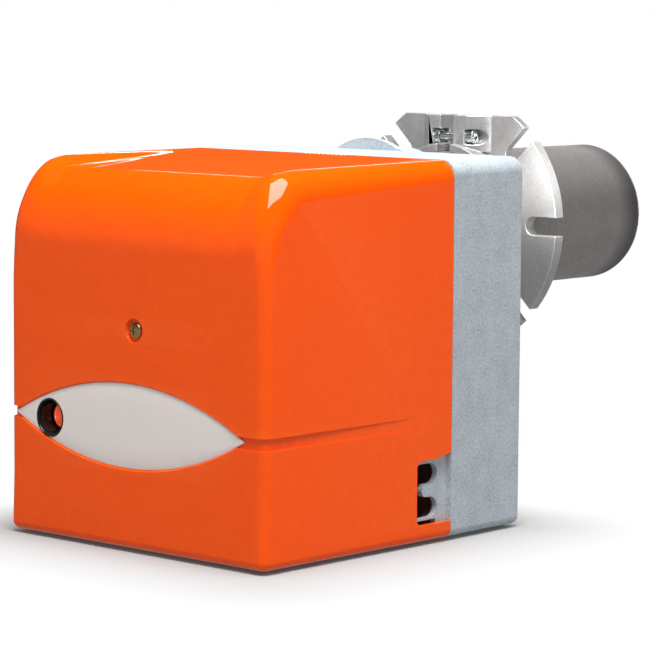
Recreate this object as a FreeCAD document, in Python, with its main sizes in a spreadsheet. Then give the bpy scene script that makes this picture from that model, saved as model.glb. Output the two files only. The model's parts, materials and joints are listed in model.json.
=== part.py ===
import FreeCAD, Part
import math
import os
import Sketcher

# Light oil burner: a moulded hood over a die-cast body, with the blast tube and its sliding flange behind.
# Frame: +X to the right of somebody facing the hood, +Y along the blast tube, +Z up.
# The origin is on the surface that the burner stands on, under the middle of its length and width.
# Inside this file, depths are counted from the seam between hood and body: under 0 is towards the front.

# Driving dimensions in millimetres: name, value, what it is
SIZES = [
    ("clearance", 0.3, "gap between pieces that lie in or beside each other"),
    ("shaft_gap", 0.05, "radial running gap of shafts"),
    ("cut_over", 1.0, "how far a cut runs past the faces it opens"),
    ("body_width", 245.0, "body, across"),
    ("body_height", 253.0, "body, floor to top"),
    ("body_depth", 74.5, "body, seam to rear face"),
    ("body_wall", 4.0, "body, side walls"),
    ("body_back", 5.0, "body, rear wall"),
    ("body_corner", 10.4, "body and hood, rounding of the top corners"),
    ("body_foot", 6.0, "body and hood, rounding of the bottom edges"),
    ("body_rear_edge", 2.5, "body, rounding of the rear rim"),
    ("boss_radius", 6.5, "body, screw bosses"),
    ("boss_inset", 10.5, "body, upper screw bosses from the outer faces"),
    ("boss_low_place", 95.0, "body, lower screw bosses from the middle"),
    ("axis_height", 199.0, "blast tube's axis above the floor"),
    ("neck_radius", 56.0, "body, neck round the blast tube"),
    ("neck_length", 18.0, "body, neck"),
    ("pad_radius", 56.0, "body, round pad beside the neck"),
    ("pad_aside", 18.0, "body, pad's centre left of the tube's axis"),
    ("pad_rise", 6.0, "body, pad's centre above the tube's axis"),
    ("pad_thickness", 5.5, "body, pad"),
    ("comb_inset", 9.0, "body, hose comb's inner face in from the side"),
    ("comb_thickness", 4.2, "body, hose comb"),
    ("comb_reach", 40.0, "body, hose comb in front of the seam"),
    ("comb_root", 10.0, "body, hose comb behind the seam"),
    ("comb_low", 7.0, "body, hose comb's lower edge"),
    ("comb_high", 63.0, "body, hose comb's upper edge"),
    ("notch_radius", 7.0, "hose notches"),
    ("notch_centre", 16.5, "hose notches' round ends in front of the seam"),
    ("notch_low", 22.5, "lower hose notch above the floor"),
    ("notch_pitch", 22.5, "hose notches, one above the other"),
    ("hood_depth", 179.0, "hood, seam to front face"),
    ("hood_seam", 0.4, "joint line between hood and body"),
    ("hood_draft", 4.9, "hood, how much each side draws in to the front"),
    ("hood_wall", 3.2, "hood, wall"),
    ("hood_crease", 27.2, "hood, crease behind the front face"),
    ("hood_brow", 59.6, "hood, radius of the curve from crease to front face"),
    ("hood_brow_drop", 57.0, "hood, where that curve meets the front face, below the top"),
    ("hood_corner_front", 16.0, "hood, rounding of the top corners at the front"),
    ("hood_edge", 8.0, "hood, rounding of the front's upright edges"),
    ("groove_low", 77.0, "hood, groove's lower edge"),
    ("groove_height", 7.6, "hood, groove"),
    ("groove_depth", 2.2, "hood, groove and badge recess"),
    ("groove_stop", 30.0, "hood, groove's end in front of the seam"),
    ("window_depth", 34.5, "hood, hose window along the side"),
    ("window_low", 11.5, "hood, hose window's lower edge"),
    ("window_high", 56.5, "hood, hose window's upper edge"),
    ("window_corner", 5.0, "hood, hose window's corners"),
    ("vent_width", 4.0, "hood, air slots in the floor"),
    ("vent_pitch", 14.0, "hood, air slots"),
    ("vent_front", 150.0, "hood, air slots' front ends in front of the seam"),
    ("vent_back", 40.0, "hood, air slots' rear ends in front of the seam"),
    ("badge_half", 105.5, "badge, half its length"),
    ("badge_rise", 28.0, "badge, half its height"),
    ("badge_aside", 6.0, "badge, centre left of the middle"),
    ("badge_height", 81.0, "badge, centre above the floor"),
    ("badge_thickness", 1.7, "badge plate"),
    ("reset_aside", 78.0, "reset button, left of the middle"),
    ("reset_height", 79.6, "reset button above the floor"),
    ("reset_hole", 12.9, "reset opening, radius in hood and badge"),
    ("collar_depth", 17.0, "reset collar, length"),
    ("collar_wall", 1.0, "reset collar, wall"),
    ("collar_rim", 2.0, "reset collar, rim behind the hood's wall"),
    ("button_radius", 8.6, "reset button"),
    ("button_proud", 4.0, "reset button, in front of the control box"),
    ("button_root", 10.0, "reset button, inside the control box"),
    ("button_travel", 2.5, "reset button, travel"),
    ("hood_screw_height", 144.0, "hood screw above the floor"),
    ("hood_screw_aside", 2.0, "hood screw, right of the middle"),
    ("hood_screw_radius", 2.5, "hood screw, shank"),
    ("hood_screw_head", 5.8, "hood screw, head radius"),
    ("hood_screw_length", 31.0, "hood screw, shank"),
    ("dish_radius", 8.0, "hood, dish round the screw"),
    ("column_radius", 8.0, "hood and scroll, screw columns"),
    ("column_front", 160.0, "scroll's screw column, front end in front of the seam"),
    ("tube_radius", 51.0, "blast tube, outer radius"),
    ("tube_wall", 1.5, "blast tube, wall"),
    ("mouth_reach", 313.0, "blast tube, mouth behind the seam"),
    ("lip_radius", 8.0, "blast tube, rolled mouth"),
    ("flange_radius", 92.0, "flange"),
    ("flange_front", 152.0, "flange, front face behind the seam"),
    ("flange_thickness", 9.5, "flange"),
    ("flange_flat", 77.5, "flange, flat top above the tube's axis"),
    ("wing_step", 2.5, "flange, how much thinner its two top wings are"),
    ("slot_width", 13.0, "flange slots, for M10 and M12 studs"),
    ("slot_inner", 65.0, "flange slots, inner end from the axis"),
    ("ring_radius", 57.0, "flange, clamping ring"),
    ("ring_length", 15.0, "flange, clamping ring in front of the face"),
    ("split_gap", 12.0, "flange, split between the lugs"),
    ("lug_width", 12.0, "flange, each lug"),
    ("lug_front", 10.7, "flange, lugs in front of the face"),
    ("clamp_rise", 62.0, "clamp screw above the tube's axis"),
    ("clamp_depth", 6.0, "clamp screw behind the lugs' front"),
    ("clamp_radius", 3.0, "clamp screw, M6 shank"),
    ("clamp_head", 5.0, "clamp screw, head radius"),
    ("clamp_head_length", 6.0, "clamp screw, head"),
    ("clamp_seat", 2.0, "clamp screw, how deep its head sits in the lug"),
    ("clamp_key", 2.9, "clamp screw, hexagon socket's corner radius"),
    ("nut_length", 5.0, "clamp nut"),
    ("nut_wall", 4.0, "flange, left lug outside the nut"),
    ("pocket_radius", 5.4, "flange, pockets for the clamp screw's head and nut"),
    ("plate_front", 1.0, "mounting plate, front face behind the seam"),
    ("plate_thickness", 3.0, "mounting plate"),
    ("plate_hole", 31.0, "mounting plate, hole round the nozzle line"),
    ("shaft_height", 84.0, "motor shaft above the floor"),
    ("shaft_front", 66.0, "motor shaft in front of the seam"),
    ("shaft_radius", 6.0, "motor shaft"),
    ("shaft_left", -99.0, "motor shaft, left end"),
    ("shaft_right", 43.5, "motor shaft, right end"),
    ("fan_radius", 56.0, "fan wheel"),
    ("fan_eye", 42.0, "fan wheel, inner radius of the blades"),
    ("fan_left", -21.0, "fan wheel, left face"),
    ("fan_right", 28.0, "fan wheel, right face"),
    ("fan_sheet", 1.5, "fan wheel, back plate and ring"),
    ("fan_ring", 46.0, "fan wheel, inner radius of the ring"),
    ("blade_thickness", 1.2, "fan wheel, blades"),
    ("blade_curve", 14.0, "fan wheel, radius of a blade's curve"),
    ("hub_radius", 12.0, "fan wheel, hub"),
    ("hub_length", 25.0, "fan wheel, hub"),
    ("scroll_front", 68.0, "scroll, first centre in front of the seam"),
    ("scroll_height", 81.0, "scroll, first centre above the floor"),
    ("scroll_start", 61.0, "scroll, first radius"),
    ("scroll_step", 4.0, "scroll, growth of the radius in each quarter"),
    ("scroll_port", 36.0, "scroll, height of the outlet"),
    ("scroll_wall", 2.5, "scroll and its cover, walls"),
    ("scroll_left", -24.5, "scroll, open left side"),
    ("scroll_right", 35.0, "scroll, right face"),
    ("scroll_rim", 14.0, "scroll, outlet flange beside the outlet"),
    ("scroll_rim_depth", 3.0, "scroll, outlet flange"),
    ("ear_radius", 6.0, "scroll and air box, screw ears"),
    ("ear_length", 12.5, "scroll, screw ears"),
    ("eye_radius", 38.0, "scroll and air box, inlet eye"),
    ("motor_radius", 42.0, "motor housing"),
    ("motor_left", -100.0, "motor housing, left end"),
    ("motor_wall", 4.0, "motor housing, wall"),
    ("motor_front", 8.0, "motor housing, wall at the scroll"),
    ("motor_cap", 6.0, "motor end cap, outside the housing"),
    ("groove_cut", 1.5, "motor housing, depth of the cooling grooves"),
    ("groove_across", 5.0, "motor housing, width of the cooling grooves"),
    ("bearing_radius", 13.0, "motor bearings, outer radius"),
    ("bearing_width", 8.0, "motor bearings"),
    ("bearing_hub", 18.0, "motor, bearing seats' outer radius"),
    ("motor_screw_circle", 33.0, "motor screws from the shaft"),
    ("stator_left", -90.0, "motor stator and rotor, left end"),
    ("stator_right", -50.0, "motor stator and rotor, right end"),
    ("stator_bore", 24.0, "motor stator, bore"),
    ("rotor_radius", 23.4, "motor rotor"),
    ("winding_inner", 26.0, "motor windings, inner radius"),
    ("winding_outer", 36.0, "motor windings, outer radius"),
    ("winding_length", 4.0, "motor windings, beyond the stator"),
    ("capacitor_radius", 11.0, "motor capacitor"),
    ("capacitor_left", -104.0, "motor capacitor, left end"),
    ("capacitor_length", 58.0, "motor capacitor"),
    ("capacitor_gap", 3.5, "motor capacitor above the motor"),
    ("saddle_width", 20.0, "capacitor saddles, front to back"),
    ("saddle_length", 8.0, "capacitor saddles, along the motor"),
    ("saddle_rise", 10.0, "capacitor saddles, above the motor"),
    ("saddle_inset", 9.0, "capacitor saddles from the capacitor's ends"),
    ("box_radius", 58.0, "air box, drum"),
    ("box_wall", 2.0, "air box, walls"),
    ("box_right", 55.0, "air box, right face"),
    ("box_hole", 12.0, "air box, hole at the pump"),
    ("box_ear_circle", 62.5, "air box, screw ears from the shaft"),
    ("box_ear_length", 3.0, "air box, screw ears"),
    ("duct_low", 50.0, "air inlet duct's lower face"),
    ("duct_high", 118.0, "air inlet duct's upper face"),
    ("duct_mouth", 150.0, "air inlet mouth in front of the seam"),
    ("damper_front", 138.0, "damper shaft in front of the seam"),
    ("damper_shaft", 2.0, "damper shaft, radius"),
    ("damper_blade", 1.0, "damper blade, thickness"),
    ("knob_radius", 10.0, "damper knob"),
    ("knob_height", 11.0, "damper knob"),
    ("knob_edge", 1.5, "damper knob, rounding"),
    ("pump_half", 27.0, "oil pump, half its height and depth"),
    ("pump_corner", 6.0, "oil pump, corners"),
    ("pump_length", 44.0, "oil pump, body"),
    ("pump_cover_half", 20.0, "oil pump cover, half its side"),
    ("pump_cover_length", 5.0, "oil pump cover"),
    ("pump_shaft_radius", 4.0, "oil pump, shaft"),
    ("pump_shaft_depth", 20.0, "oil pump, shaft inside the pump"),
    ("coupling_radius", 8.5, "pump coupling"),
    ("coupling_left", 34.0, "pump coupling, left end"),
    ("coupling_right", 52.0, "pump coupling, right end"),
    ("coupling_gap", 1.0, "pump coupling, between the two shaft ends"),
    ("nipple_radius", 6.0, "pump's hose nipples"),
    ("nipple_length", 11.0, "pump's hose nipples"),
    ("nipple_bore", 3.0, "pump's hose nipples, bore radius"),
    ("nipple_pitch", 18.0, "pump's hose nipples, side by side"),
    ("stem_radius", 7.0, "valve stem"),
    ("stem_collar", 10.0, "valve stem, collar and nut"),
    ("stem_foot", 4.0, "valve stem, collar height"),
    ("stem_nut", 6.0, "valve stem, nut height"),
    ("coil_side", 32.0, "valve coil, side"),
    ("coil_corner", 3.0, "valve coil, corners"),
    ("coil_height", 30.0, "valve coil"),
    ("union_radius", 6.0, "pipe unions"),
    ("union_length", 8.0, "pipe unions"),
    ("pipe_radius", 2.0, "oil pipe"),
    ("pipe_bend", 13.0, "oil pipe, bends"),
    ("pipe_front", 114.0, "oil pipe's front run in front of the seam"),
    ("pipe_side", 80.0, "oil pipe's riser, right of the middle"),
    ("pipe_low", 96.0, "oil pipe's lower union above the floor"),
    ("line_radius", 7.0, "nozzle line"),
    ("line_bore", 3.0, "nozzle line, bore radius"),
    ("line_start", 32.0, "nozzle line, front end in front of the seam"),
    ("elbow_radius", 9.0, "line elbow"),
    ("elbow_length", 14.0, "line elbow"),
    ("holder_start", 238.0, "nozzle holder, front end behind the seam"),
    ("holder_length", 24.0, "nozzle holder"),
    ("holder_radius", 11.0, "nozzle holder"),
    ("nozzle_radius", 8.0, "oil nozzle"),
    ("nozzle_tip", 3.0, "oil nozzle, tip radius"),
    ("nozzle_length", 14.0, "oil nozzle"),
    ("nozzle_cone", 7.0, "oil nozzle, cone"),
    ("disc_radius", 40.0, "flame disc"),
    ("disc_eye", 12.0, "flame disc, centre hole"),
    ("disc_place", 282.0, "flame disc behind the seam"),
    ("disc_thickness", 1.5, "flame disc"),
    ("disc_slot", 3.0, "flame disc, width of its slots"),
    ("disc_slot_inner", 20.0, "flame disc, slots' inner end"),
    ("disc_slot_outer", 36.0, "flame disc, slots' outer end"),
    ("carrier_wall", 3.0, "disc carrier, ring's wall"),
    ("carrier_place", 244.0, "disc carrier behind the seam"),
    ("carrier_length", 8.0, "disc carrier, ring"),
    ("leg_width", 4.0, "disc carrier, legs"),
    ("leg_outer", 19.0, "disc carrier, legs' outer faces"),
    ("spider_place", 150.0, "spider behind the seam"),
    ("spider_hub", 12.0, "spider, hub"),
    ("spider_length", 10.0, "spider, hub length"),
    ("spider_arm", 5.0, "spider, arms' width"),
    ("spider_sheet", 3.0, "spider, arms' thickness"),
    ("insulator_radius", 5.0, "electrode insulators"),
    ("insulator_start", 205.0, "electrode insulators, front end behind the seam"),
    ("insulator_length", 57.0, "electrode insulators"),
    ("electrode_aside", 14.0, "electrodes from the middle"),
    ("electrode_rise", 17.0, "electrodes above the tube's axis"),
    ("electrode_wire", 1.2, "electrodes, wire radius"),
    ("electrode_bend", 4.0, "electrodes, bend"),
    ("electrode_out", 9.0, "electrodes, wire in front of the insulators"),
    ("electrode_knee", 6.0, "electrodes, straight wire behind the insulators"),
    ("spark_aside", 2.5, "electrode tips from the middle"),
    ("spark_rise", 5.0, "electrode tips above the tube's axis"),
    ("spark_reach", 3.0, "electrode tips behind the nozzle's tip"),
    ("clamp_place", 225.0, "electrode clamp behind the seam"),
    ("clamp_length", 10.0, "electrode clamp"),
    ("clamp_half", 21.0, "electrode clamp, half its width"),
    ("clamp_drop", 9.5, "electrode clamp below the tube's axis"),
    ("clamp_top", 24.0, "electrode clamp above the tube's axis"),
    ("clamp_corner", 4.0, "electrode clamp, corners"),
    ("cover_radius", 42.0, "head cover"),
    ("cover_thickness", 4.0, "head cover"),
    ("cover_screw_circle", 36.0, "head cover, screws from the tube's axis"),
    ("bush_radius", 11.0, "head cover, bush"),
    ("bush_length", 16.0, "head cover, bush"),
    ("lock_head", 3.5, "lock screw, head radius"),
    ("lock_length", 5.5, "lock screw, shank"),
    ("lock_head_length", 3.0, "lock screw, head"),
    ("cell_aside", 17.0, "photocell, right of the tube's axis"),
    ("cell_rise", 15.0, "photocell above the tube's axis"),
    ("cell_radius", 7.0, "photocell"),
    ("cell_rim", 8.8, "photocell, rim radius"),
    ("cell_rim_thickness", 3.0, "photocell, rim"),
    ("cell_front", 16.0, "photocell, in front of its rim"),
    ("cell_back", 11.0, "photocell, behind its rim"),
    ("base_left", -110.0, "control box, left face"),
    ("base_width", 62.0, "control box, width"),
    ("base_low", 38.0, "control box's lower face"),
    ("base_height", 88.0, "control box, height"),
    ("base_back", 112.0, "control base, rear face in front of the seam"),
    ("base_thickness", 14.0, "control base"),
    ("control_inset", 1.0, "control box inside its base's outline"),
    ("control_depth", 30.0, "control box in front of its base"),
    ("control_edge", 3.0, "control box, rounding"),
    ("bracket_sheet", 1.5, "control bracket"),
    ("bracket_low", 22.0, "control bracket's floor"),
    ("bracket_tab", 30.0, "control bracket, height at the plate"),
    ("bracket_screw", 20.0, "control bracket, screws above its floor"),
    ("bracket_screw_inset", 15.0, "control bracket, screws from its sides"),
    ("transformer_left", -115.0, "ignition transformer, left face"),
    ("transformer_width", 63.0, "ignition transformer, width"),
    ("transformer_low", 152.4, "ignition transformer's lower face"),
    ("transformer_height", 58.0, "ignition transformer"),
    ("transformer_depth", 75.0, "ignition transformer"),
    ("transformer_edge", 3.0, "ignition transformer, edges"),
    ("tab_half", 11.0, "transformer tabs, half their width"),
    ("tab_reach", 8.0, "transformer tabs beyond the transformer"),
    ("bushing_radius", 6.0, "transformer's high voltage sockets"),
    ("bushing_length", 9.0, "transformer's high voltage sockets"),
    ("bushing_bore", 2.5, "transformer's high voltage sockets, bore radius"),
    ("bushing_pitch", 24.0, "transformer's high voltage sockets"),
    ("socket_left", 62.0, "terminal socket, left face"),
    ("socket_width", 46.0, "terminal socket"),
    ("socket_low", 162.0, "terminal socket's lower face"),
    ("socket_height", 22.0, "terminal socket"),
    ("socket_depth", 32.0, "terminal socket"),
    ("contact_radius", 1.6, "terminal socket, contact holes"),
    ("contact_depth", 8.0, "terminal socket, contact holes"),
    ("contact_pitch", 5.8, "terminal socket, contacts"),
    ("screw_radius", 2.0, "small screws, shank"),
    ("screw_head", 4.0, "small screws, head radius"),
    ("screw_head_height", 2.2, "small screws, head"),
    ("screw_length", 8.0, "small screws, shank under the head"),
    ("thin_screw_length", 6.0, "screws of the air box, shank under the head"),
    ("set_screw_length", 4.0, "set screws"),
]

BLADES = 30
BLADE_SWEEP = math.radians(12)
FLANGE_SLOTS = 8
MOTOR_GROOVES = 14
VENTS = 9
CONTACTS = 7
DISC_SLOTS = 8
THREE = 3
QUARTERS = [math.radians(angle) for angle in (0, 90, 180, 270)]
DIAGONALS = [math.radians(angle) for angle in (45, 135, 225, 315)]
BOX_EARS = [math.radians(angle) for angle in (60, 235, 300)]
TINY = 1e-6
NEAR = 0.01

doc = FreeCAD.newDocument("oil_burner")
sheet = doc.addObject("Spreadsheet::Sheet", "Sizes")


class Dim:
    """A length that knows its value and the sheet expression that gives it."""

    def __init__(self, value, text):
        self.value = float(value)
        self.text = text

    def __float__(self):
        return self.value

    def __neg__(self):
        return Dim(-self.value, "(0 - " + self.text + ")")

    def __add__(self, other):
        other = dim(other)
        return Dim(self.value + other.value, "(" + self.text + " + " + other.text + ")")

    def __sub__(self, other):
        other = dim(other)
        return Dim(self.value - other.value, "(" + self.text + " - " + other.text + ")")

    def __mul__(self, other):
        other = dim(other)
        return Dim(self.value * other.value, "(" + self.text + " * " + other.text + ")")

    def __truediv__(self, other):
        other = dim(other)
        return Dim(self.value / other.value, "(" + self.text + " / " + other.text + ")")

    __radd__ = __add__
    __rmul__ = __mul__

    def __rsub__(self, other):
        return dim(other) - self


def dim(number):
    """Give a plain number the form of a Dim."""
    if isinstance(number, Dim):
        return number
    return Dim(number, "(" + format(float(number), ".9f") + ")")


def root(square):
    """Square root of a Dim."""
    return Dim(math.sqrt(square.value), "sqrt(" + square.text + ")")


class Named:
    """The driving dimensions, one attribute each."""


d = Named()
for row, (name, value, note) in enumerate(SIZES, start=1):
    sheet.set("A" + str(row), name)
    sheet.set("B" + str(row), str(value))
    sheet.set("C" + str(row), note)
    sheet.setAlias("B" + str(row), name)
    setattr(d, name, Dim(value, "Sizes." + name))
doc.recompute()

# Places that several pieces share
seam = (d.hood_depth - d.mouth_reach) / 2
half_width = d.body_width / 2
comb_face = half_width - d.comb_inset
brow_low = d.body_height - d.hood_brow_drop
air_hole = d.tube_radius - d.tube_wall
plate_rear = d.plate_front + d.plate_thickness
rim_face = d.plate_front - d.scroll_rim_depth
screw_hole = d.screw_radius + d.clearance
scroll_second = d.scroll_start + d.scroll_step
scroll_third = scroll_second + d.scroll_step
scroll_top = d.scroll_height + d.scroll_step + scroll_third
cover_left = d.scroll_left - d.scroll_wall
box_left = d.scroll_right
capacitor_height = d.shaft_height + d.motor_radius + d.capacitor_gap + d.capacitor_radius
control_front = d.base_back + d.base_thickness + d.control_depth
nozzle_start = d.holder_start + d.holder_length
flange_rear = d.flange_front + d.flange_thickness
clamp_place = d.flange_front - d.lug_front + d.clamp_depth
lug_side = d.split_gap / 2 + d.lug_width
duct_middle = (box_left + d.box_right) / 2
pump_top = d.shaft_height + d.pump_half
pump_face = d.shaft_front + d.pump_half
transformer_middle = d.transformer_left + d.transformer_width / 2
transformer_top = d.transformer_low + d.transformer_height


def on_circle(radius, angle, x=0, y=0):
    """Place on a circle round a centre."""
    return x + radius * math.cos(angle), y + radius * math.sin(angle)


plate_screw_places = [(side * (half_width - d.boss_inset), height)
                      for side in (-1, 1)
                      for height in (d.body_height / 2, d.body_height - d.boss_inset)]
plate_screw_places += [(side * d.boss_low_place, d.boss_inset) for side in (-1, 1)]
rim_left = d.scroll_left - d.scroll_rim
rim_right = d.scroll_right + d.scroll_rim
port_screw_places = [(x, z)
                     for x in (rim_left + d.scroll_rim / 2, rim_right - d.scroll_rim / 2)
                     for z in (scroll_top - d.scroll_port, scroll_top - d.scroll_wall)]
bracket_screw_height = d.bracket_low + d.bracket_screw
bracket_screw_places = [(d.base_left + d.bracket_screw_inset, bracket_screw_height),
                        (d.base_left + d.base_width - d.bracket_screw_inset, bracket_screw_height)]
tab_screw_places = [(transformer_middle, transformer_top + d.tab_reach / 2),
                    (transformer_middle, d.transformer_low - d.tab_reach / 2)]
cover_screw_places = [on_circle(d.cover_screw_circle, angle, 0, d.axis_height) for angle in QUARTERS]
motor_screw_places = [on_circle(d.motor_screw_circle, angle, -d.shaft_front, d.shaft_height)
                      for angle in DIAGONALS]
box_screw_places = [on_circle(d.box_ear_circle, angle, -d.shaft_front, d.shaft_height) for angle in BOX_EARS]


class Arc:
    """A round edge to a point. Turn is 1 when it runs anticlockwise in its sketch, else -1."""

    def __init__(self, x, y, radius, turn):
        self.x = dim(x)
        self.y = dim(y)
        self.radius = dim(radius)
        self.turn = turn


class Circle:
    """A full circle in a sketch."""

    def __init__(self, x, y, radius):
        self.x = dim(x)
        self.y = dim(y)
        self.radius = dim(radius)


def box(x0, y0, x1, y1):
    """Corners of a rectangle."""
    return [(x0, y0), (x1, y0), (x1, y1), (x0, y1)]


def soft_box(x0, y0, x1, y1, radius):
    """A rectangle with round corners."""
    return [(x1 - radius, y0), Arc(x1, y0 + radius, radius, 1),
            (x1, y1 - radius), Arc(x1 - radius, y1, radius, 1),
            (x0 + radius, y1), Arc(x0, y1 - radius, radius, 1),
            (x0, y0 + radius), Arc(x0 + radius, y0, radius, 1)]


def hexagon(x, y, corner):
    """Corners of a hexagon."""
    return [on_circle(corner, math.radians(60 * step), x, y) for step in range(6)]


def step_end(step):
    """Where one step of an outline ends."""
    if isinstance(step, Arc):
        return step.x, step.y
    return dim(step[0]), dim(step[1])


def arc_edge(start, end, radius, turn):
    """Circle edge of at most half a turn between two points, and whether it runs from end to start."""
    chord = end - start
    half = chord.Length / 2
    rise = math.sqrt(max(radius * radius - half * half, 0.0))
    side = FreeCAD.Vector(-chord.y, chord.x, 0).normalize()
    centre = start + chord / 2 + side * rise * turn
    first, last = (start, end) if turn > 0 else (end, start)
    begin = math.atan2(first.y - centre.y, first.x - centre.x)
    finish = math.atan2(last.y - centre.y, last.x - centre.x)
    if finish <= begin:
        finish += 2 * math.pi
    circle = Part.Circle(centre, FreeCAD.Vector(0, 0, 1), radius)
    return Part.ArcOfCircle(circle, begin, finish), turn < 0


class Piece:
    """One sub-part: a PartDesign body and short calls for its features.

    An outline is a list of steps, each the end of an edge that starts where the step before it ends.
    """

    PLANES = {"XY": ("XY_Plane", 1), "XZ": ("XZ_Plane", -1), "YZ": ("YZ_Plane", 1)}
    TURNS = {"Z": (0, 0, 1), "Y": (0, 1, 0), "-X": (-1, 0, 0)}

    def __init__(self, label, x=0, y=0, z=0, axis="Z"):
        self.body = doc.addObject("PartDesign::Body", label)
        self.body.Label = label
        self.label = label
        turn = FreeCAD.Rotation(FreeCAD.Vector(0, 0, 1), FreeCAD.Vector(*self.TURNS[axis]))
        place = [dim(x), seam + y, dim(z)]
        self.body.Placement = FreeCAD.Placement(FreeCAD.Vector(*[float(value) for value in place]), turn)
        for letter, value in zip("xyz", place):
            self.body.setExpression("Placement.Base." + letter, value.text)

    def role(self, name):
        """One of the body's own origin planes or axes."""
        return [thing for thing in self.body.Origin.OriginFeatures if thing.Role == name][0]

    def sketch(self, plane, level, loops):
        """Sketch at a level along the plane's axis, every corner tied to the sheet."""
        name, sense = self.PLANES[plane]
        drawing = self.body.newObject("Sketcher::SketchObject", self.label + "_sketch")
        drawing.AttachmentSupport = (self.role(name), [""])
        drawing.MapMode = "FlatFace"
        offset = dim(level) * sense
        drawing.AttachmentOffset = FreeCAD.Placement(FreeCAD.Vector(0, 0, float(offset)), FreeCAD.Rotation())
        drawing.setExpression("AttachmentOffset.Base.z", offset.text)
        for loop in loops:
            if isinstance(loop, Circle):
                self.draw_circle(drawing, loop)
            else:
                self.draw_outline(drawing, loop)
        return drawing

    def tie(self, drawing, kind, *refs):
        """Add a constraint with a value and bind it to the sheet."""
        value = refs[-1]
        number = drawing.addConstraint(Sketcher.Constraint(kind, *refs[:-1], float(value)))
        drawing.setExpression("Constraints[" + str(number) + "]", value.text)

    def tie_arc(self, drawing, edge, start, end, radius):
        """Tie an arc's radius, or its centre where it is half a circle."""
        run = abs(float(end[0] - start[0]))
        rise = abs(float(end[1] - start[1]))
        if math.hypot(run, rise) < radius.value * 2 - TINY:
            self.tie(drawing, "Radius", edge, radius)
        elif rise > run:
            self.tie(drawing, "DistanceX", -1, 1, edge, 3, (start[0] + end[0]) / 2)
        else:
            self.tie(drawing, "DistanceY", -1, 1, edge, 3, (start[1] + end[1]) / 2)

    def draw_circle(self, drawing, circle):
        """Full circle, centre and radius tied."""
        centre = FreeCAD.Vector(circle.x.value, circle.y.value, 0)
        edge = drawing.addGeometry(Part.Circle(centre, FreeCAD.Vector(0, 0, 1), circle.radius.value))
        self.tie(drawing, "Radius", edge, circle.radius)
        self.tie(drawing, "DistanceX", -1, 1, edge, 3, circle.x)
        self.tie(drawing, "DistanceY", -1, 1, edge, 3, circle.y)

    def draw_outline(self, drawing, steps):
        """Closed run of straight and round edges, each corner and radius tied."""
        edges = []
        ends = [step_end(step) for step in steps]
        places = [FreeCAD.Vector(x.value, y.value, 0) for x, y in ends]
        for index, step in enumerate(steps):
            start = places[index - 1]
            end = places[index]
            if isinstance(step, Arc):
                curve, backward = arc_edge(start, end, step.radius.value, step.turn)
                edge = drawing.addGeometry(curve)
                edges.append((edge, 2, 1) if backward else (edge, 1, 2))
                self.tie_arc(drawing, edge, ends[index - 1], ends[index], step.radius)
            else:
                edge = drawing.addGeometry(Part.LineSegment(start, end))
                edges.append((edge, 1, 2))
        for index, (edge, _, tail) in enumerate(edges):
            follower, head, _ = edges[(index + 1) % len(edges)]
            drawing.addConstraint(Sketcher.Constraint("Coincident", edge, tail, follower, head))
            x, y = ends[index]
            self.tie(drawing, "DistanceX", -1, 1, edge, tail, x)
            self.tie(drawing, "DistanceY", -1, 1, edge, tail, y)

    def pad(self, plane, start, end, *loops):
        """Add material between two levels of a plane's axis."""
        feature = self.body.newObject("PartDesign::Pad", self.label + "_pad")
        feature.Profile = self.sketch(plane, start, loops)
        feature.Reversed = self.PLANES[plane][1] < 0
        self.set_length(feature, dim(end) - start)
        return feature

    def cut(self, plane, start, end, *loops):
        """Take material away between two levels of a plane's axis."""
        before = self.volume()
        feature = self.body.newObject("PartDesign::Pocket", self.label + "_cut")
        feature.Profile = self.sketch(plane, start, loops)
        feature.Reversed = self.PLANES[plane][1] > 0
        self.set_length(feature, dim(end) - start)
        if self.volume() >= before - TINY:
            raise RuntimeError(self.label + ": a cut takes nothing away")
        return feature

    def set_length(self, feature, value):
        """Bind a pad's or pocket's length."""
        feature.Length = float(value)
        feature.setExpression("Length", value.text)
        self.finish(feature)

    def finish(self, feature):
        """Recompute a feature and stop where it failed."""
        doc.recompute()
        if not feature.isValid() or feature.Shape.isNull():
            raise RuntimeError(self.label + ": " + feature.Name + " failed")
        self.body.Tip = feature

    def volume(self):
        """Volume so far."""
        return self.body.Tip.Shape.Volume

    def turned(self, *steps):
        """Revolve an outline of (radius, height) about the body's own Z axis."""
        feature = self.body.newObject("PartDesign::Revolution", self.label + "_turned")
        feature.Profile = self.sketch("XZ", 0, [list(steps)])
        feature.ReferenceAxis = (self.role("Z_Axis"), [""])
        feature.Angle = 360.0
        self.finish(feature)
        return feature

    def loft(self, plane, start, first, end, last):
        """Ruled body between two outlines at two levels of a plane's axis."""
        feature = self.body.newObject("PartDesign::AdditiveLoft", self.label + "_loft")
        feature.Profile = self.sketch(plane, start, [first])
        feature.Sections = [self.sketch(plane, end, [last])]
        feature.Ruled = True
        self.finish(feature)
        return feature

    def pattern(self, feature, axis, count):
        """Repeat a feature evenly round an axis of the body."""
        ring = self.body.newObject("PartDesign::PolarPattern", self.label + "_ring")
        ring.Originals = [feature]
        ring.Axis = (self.role(axis), [""])
        ring.Angle = 360.0
        ring.Occurrences = count
        self.finish(ring)
        return ring

    def round(self, radius, wanted):
        """Fillet the edges for which the test holds."""
        base = self.body.Tip
        edges = enumerate(base.Shape.Edges, start=1)
        names = ["Edge" + str(number) for number, edge in edges if wanted(edge)]
        if not names:
            raise RuntimeError(self.label + ": no edge to round")
        feature = self.body.newObject("PartDesign::Fillet", self.label + "_round")
        feature.Base = (base, names)
        feature.Radius = float(radius)
        feature.setExpression("Radius", dim(radius).text)
        self.finish(feature)
        return feature

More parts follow.
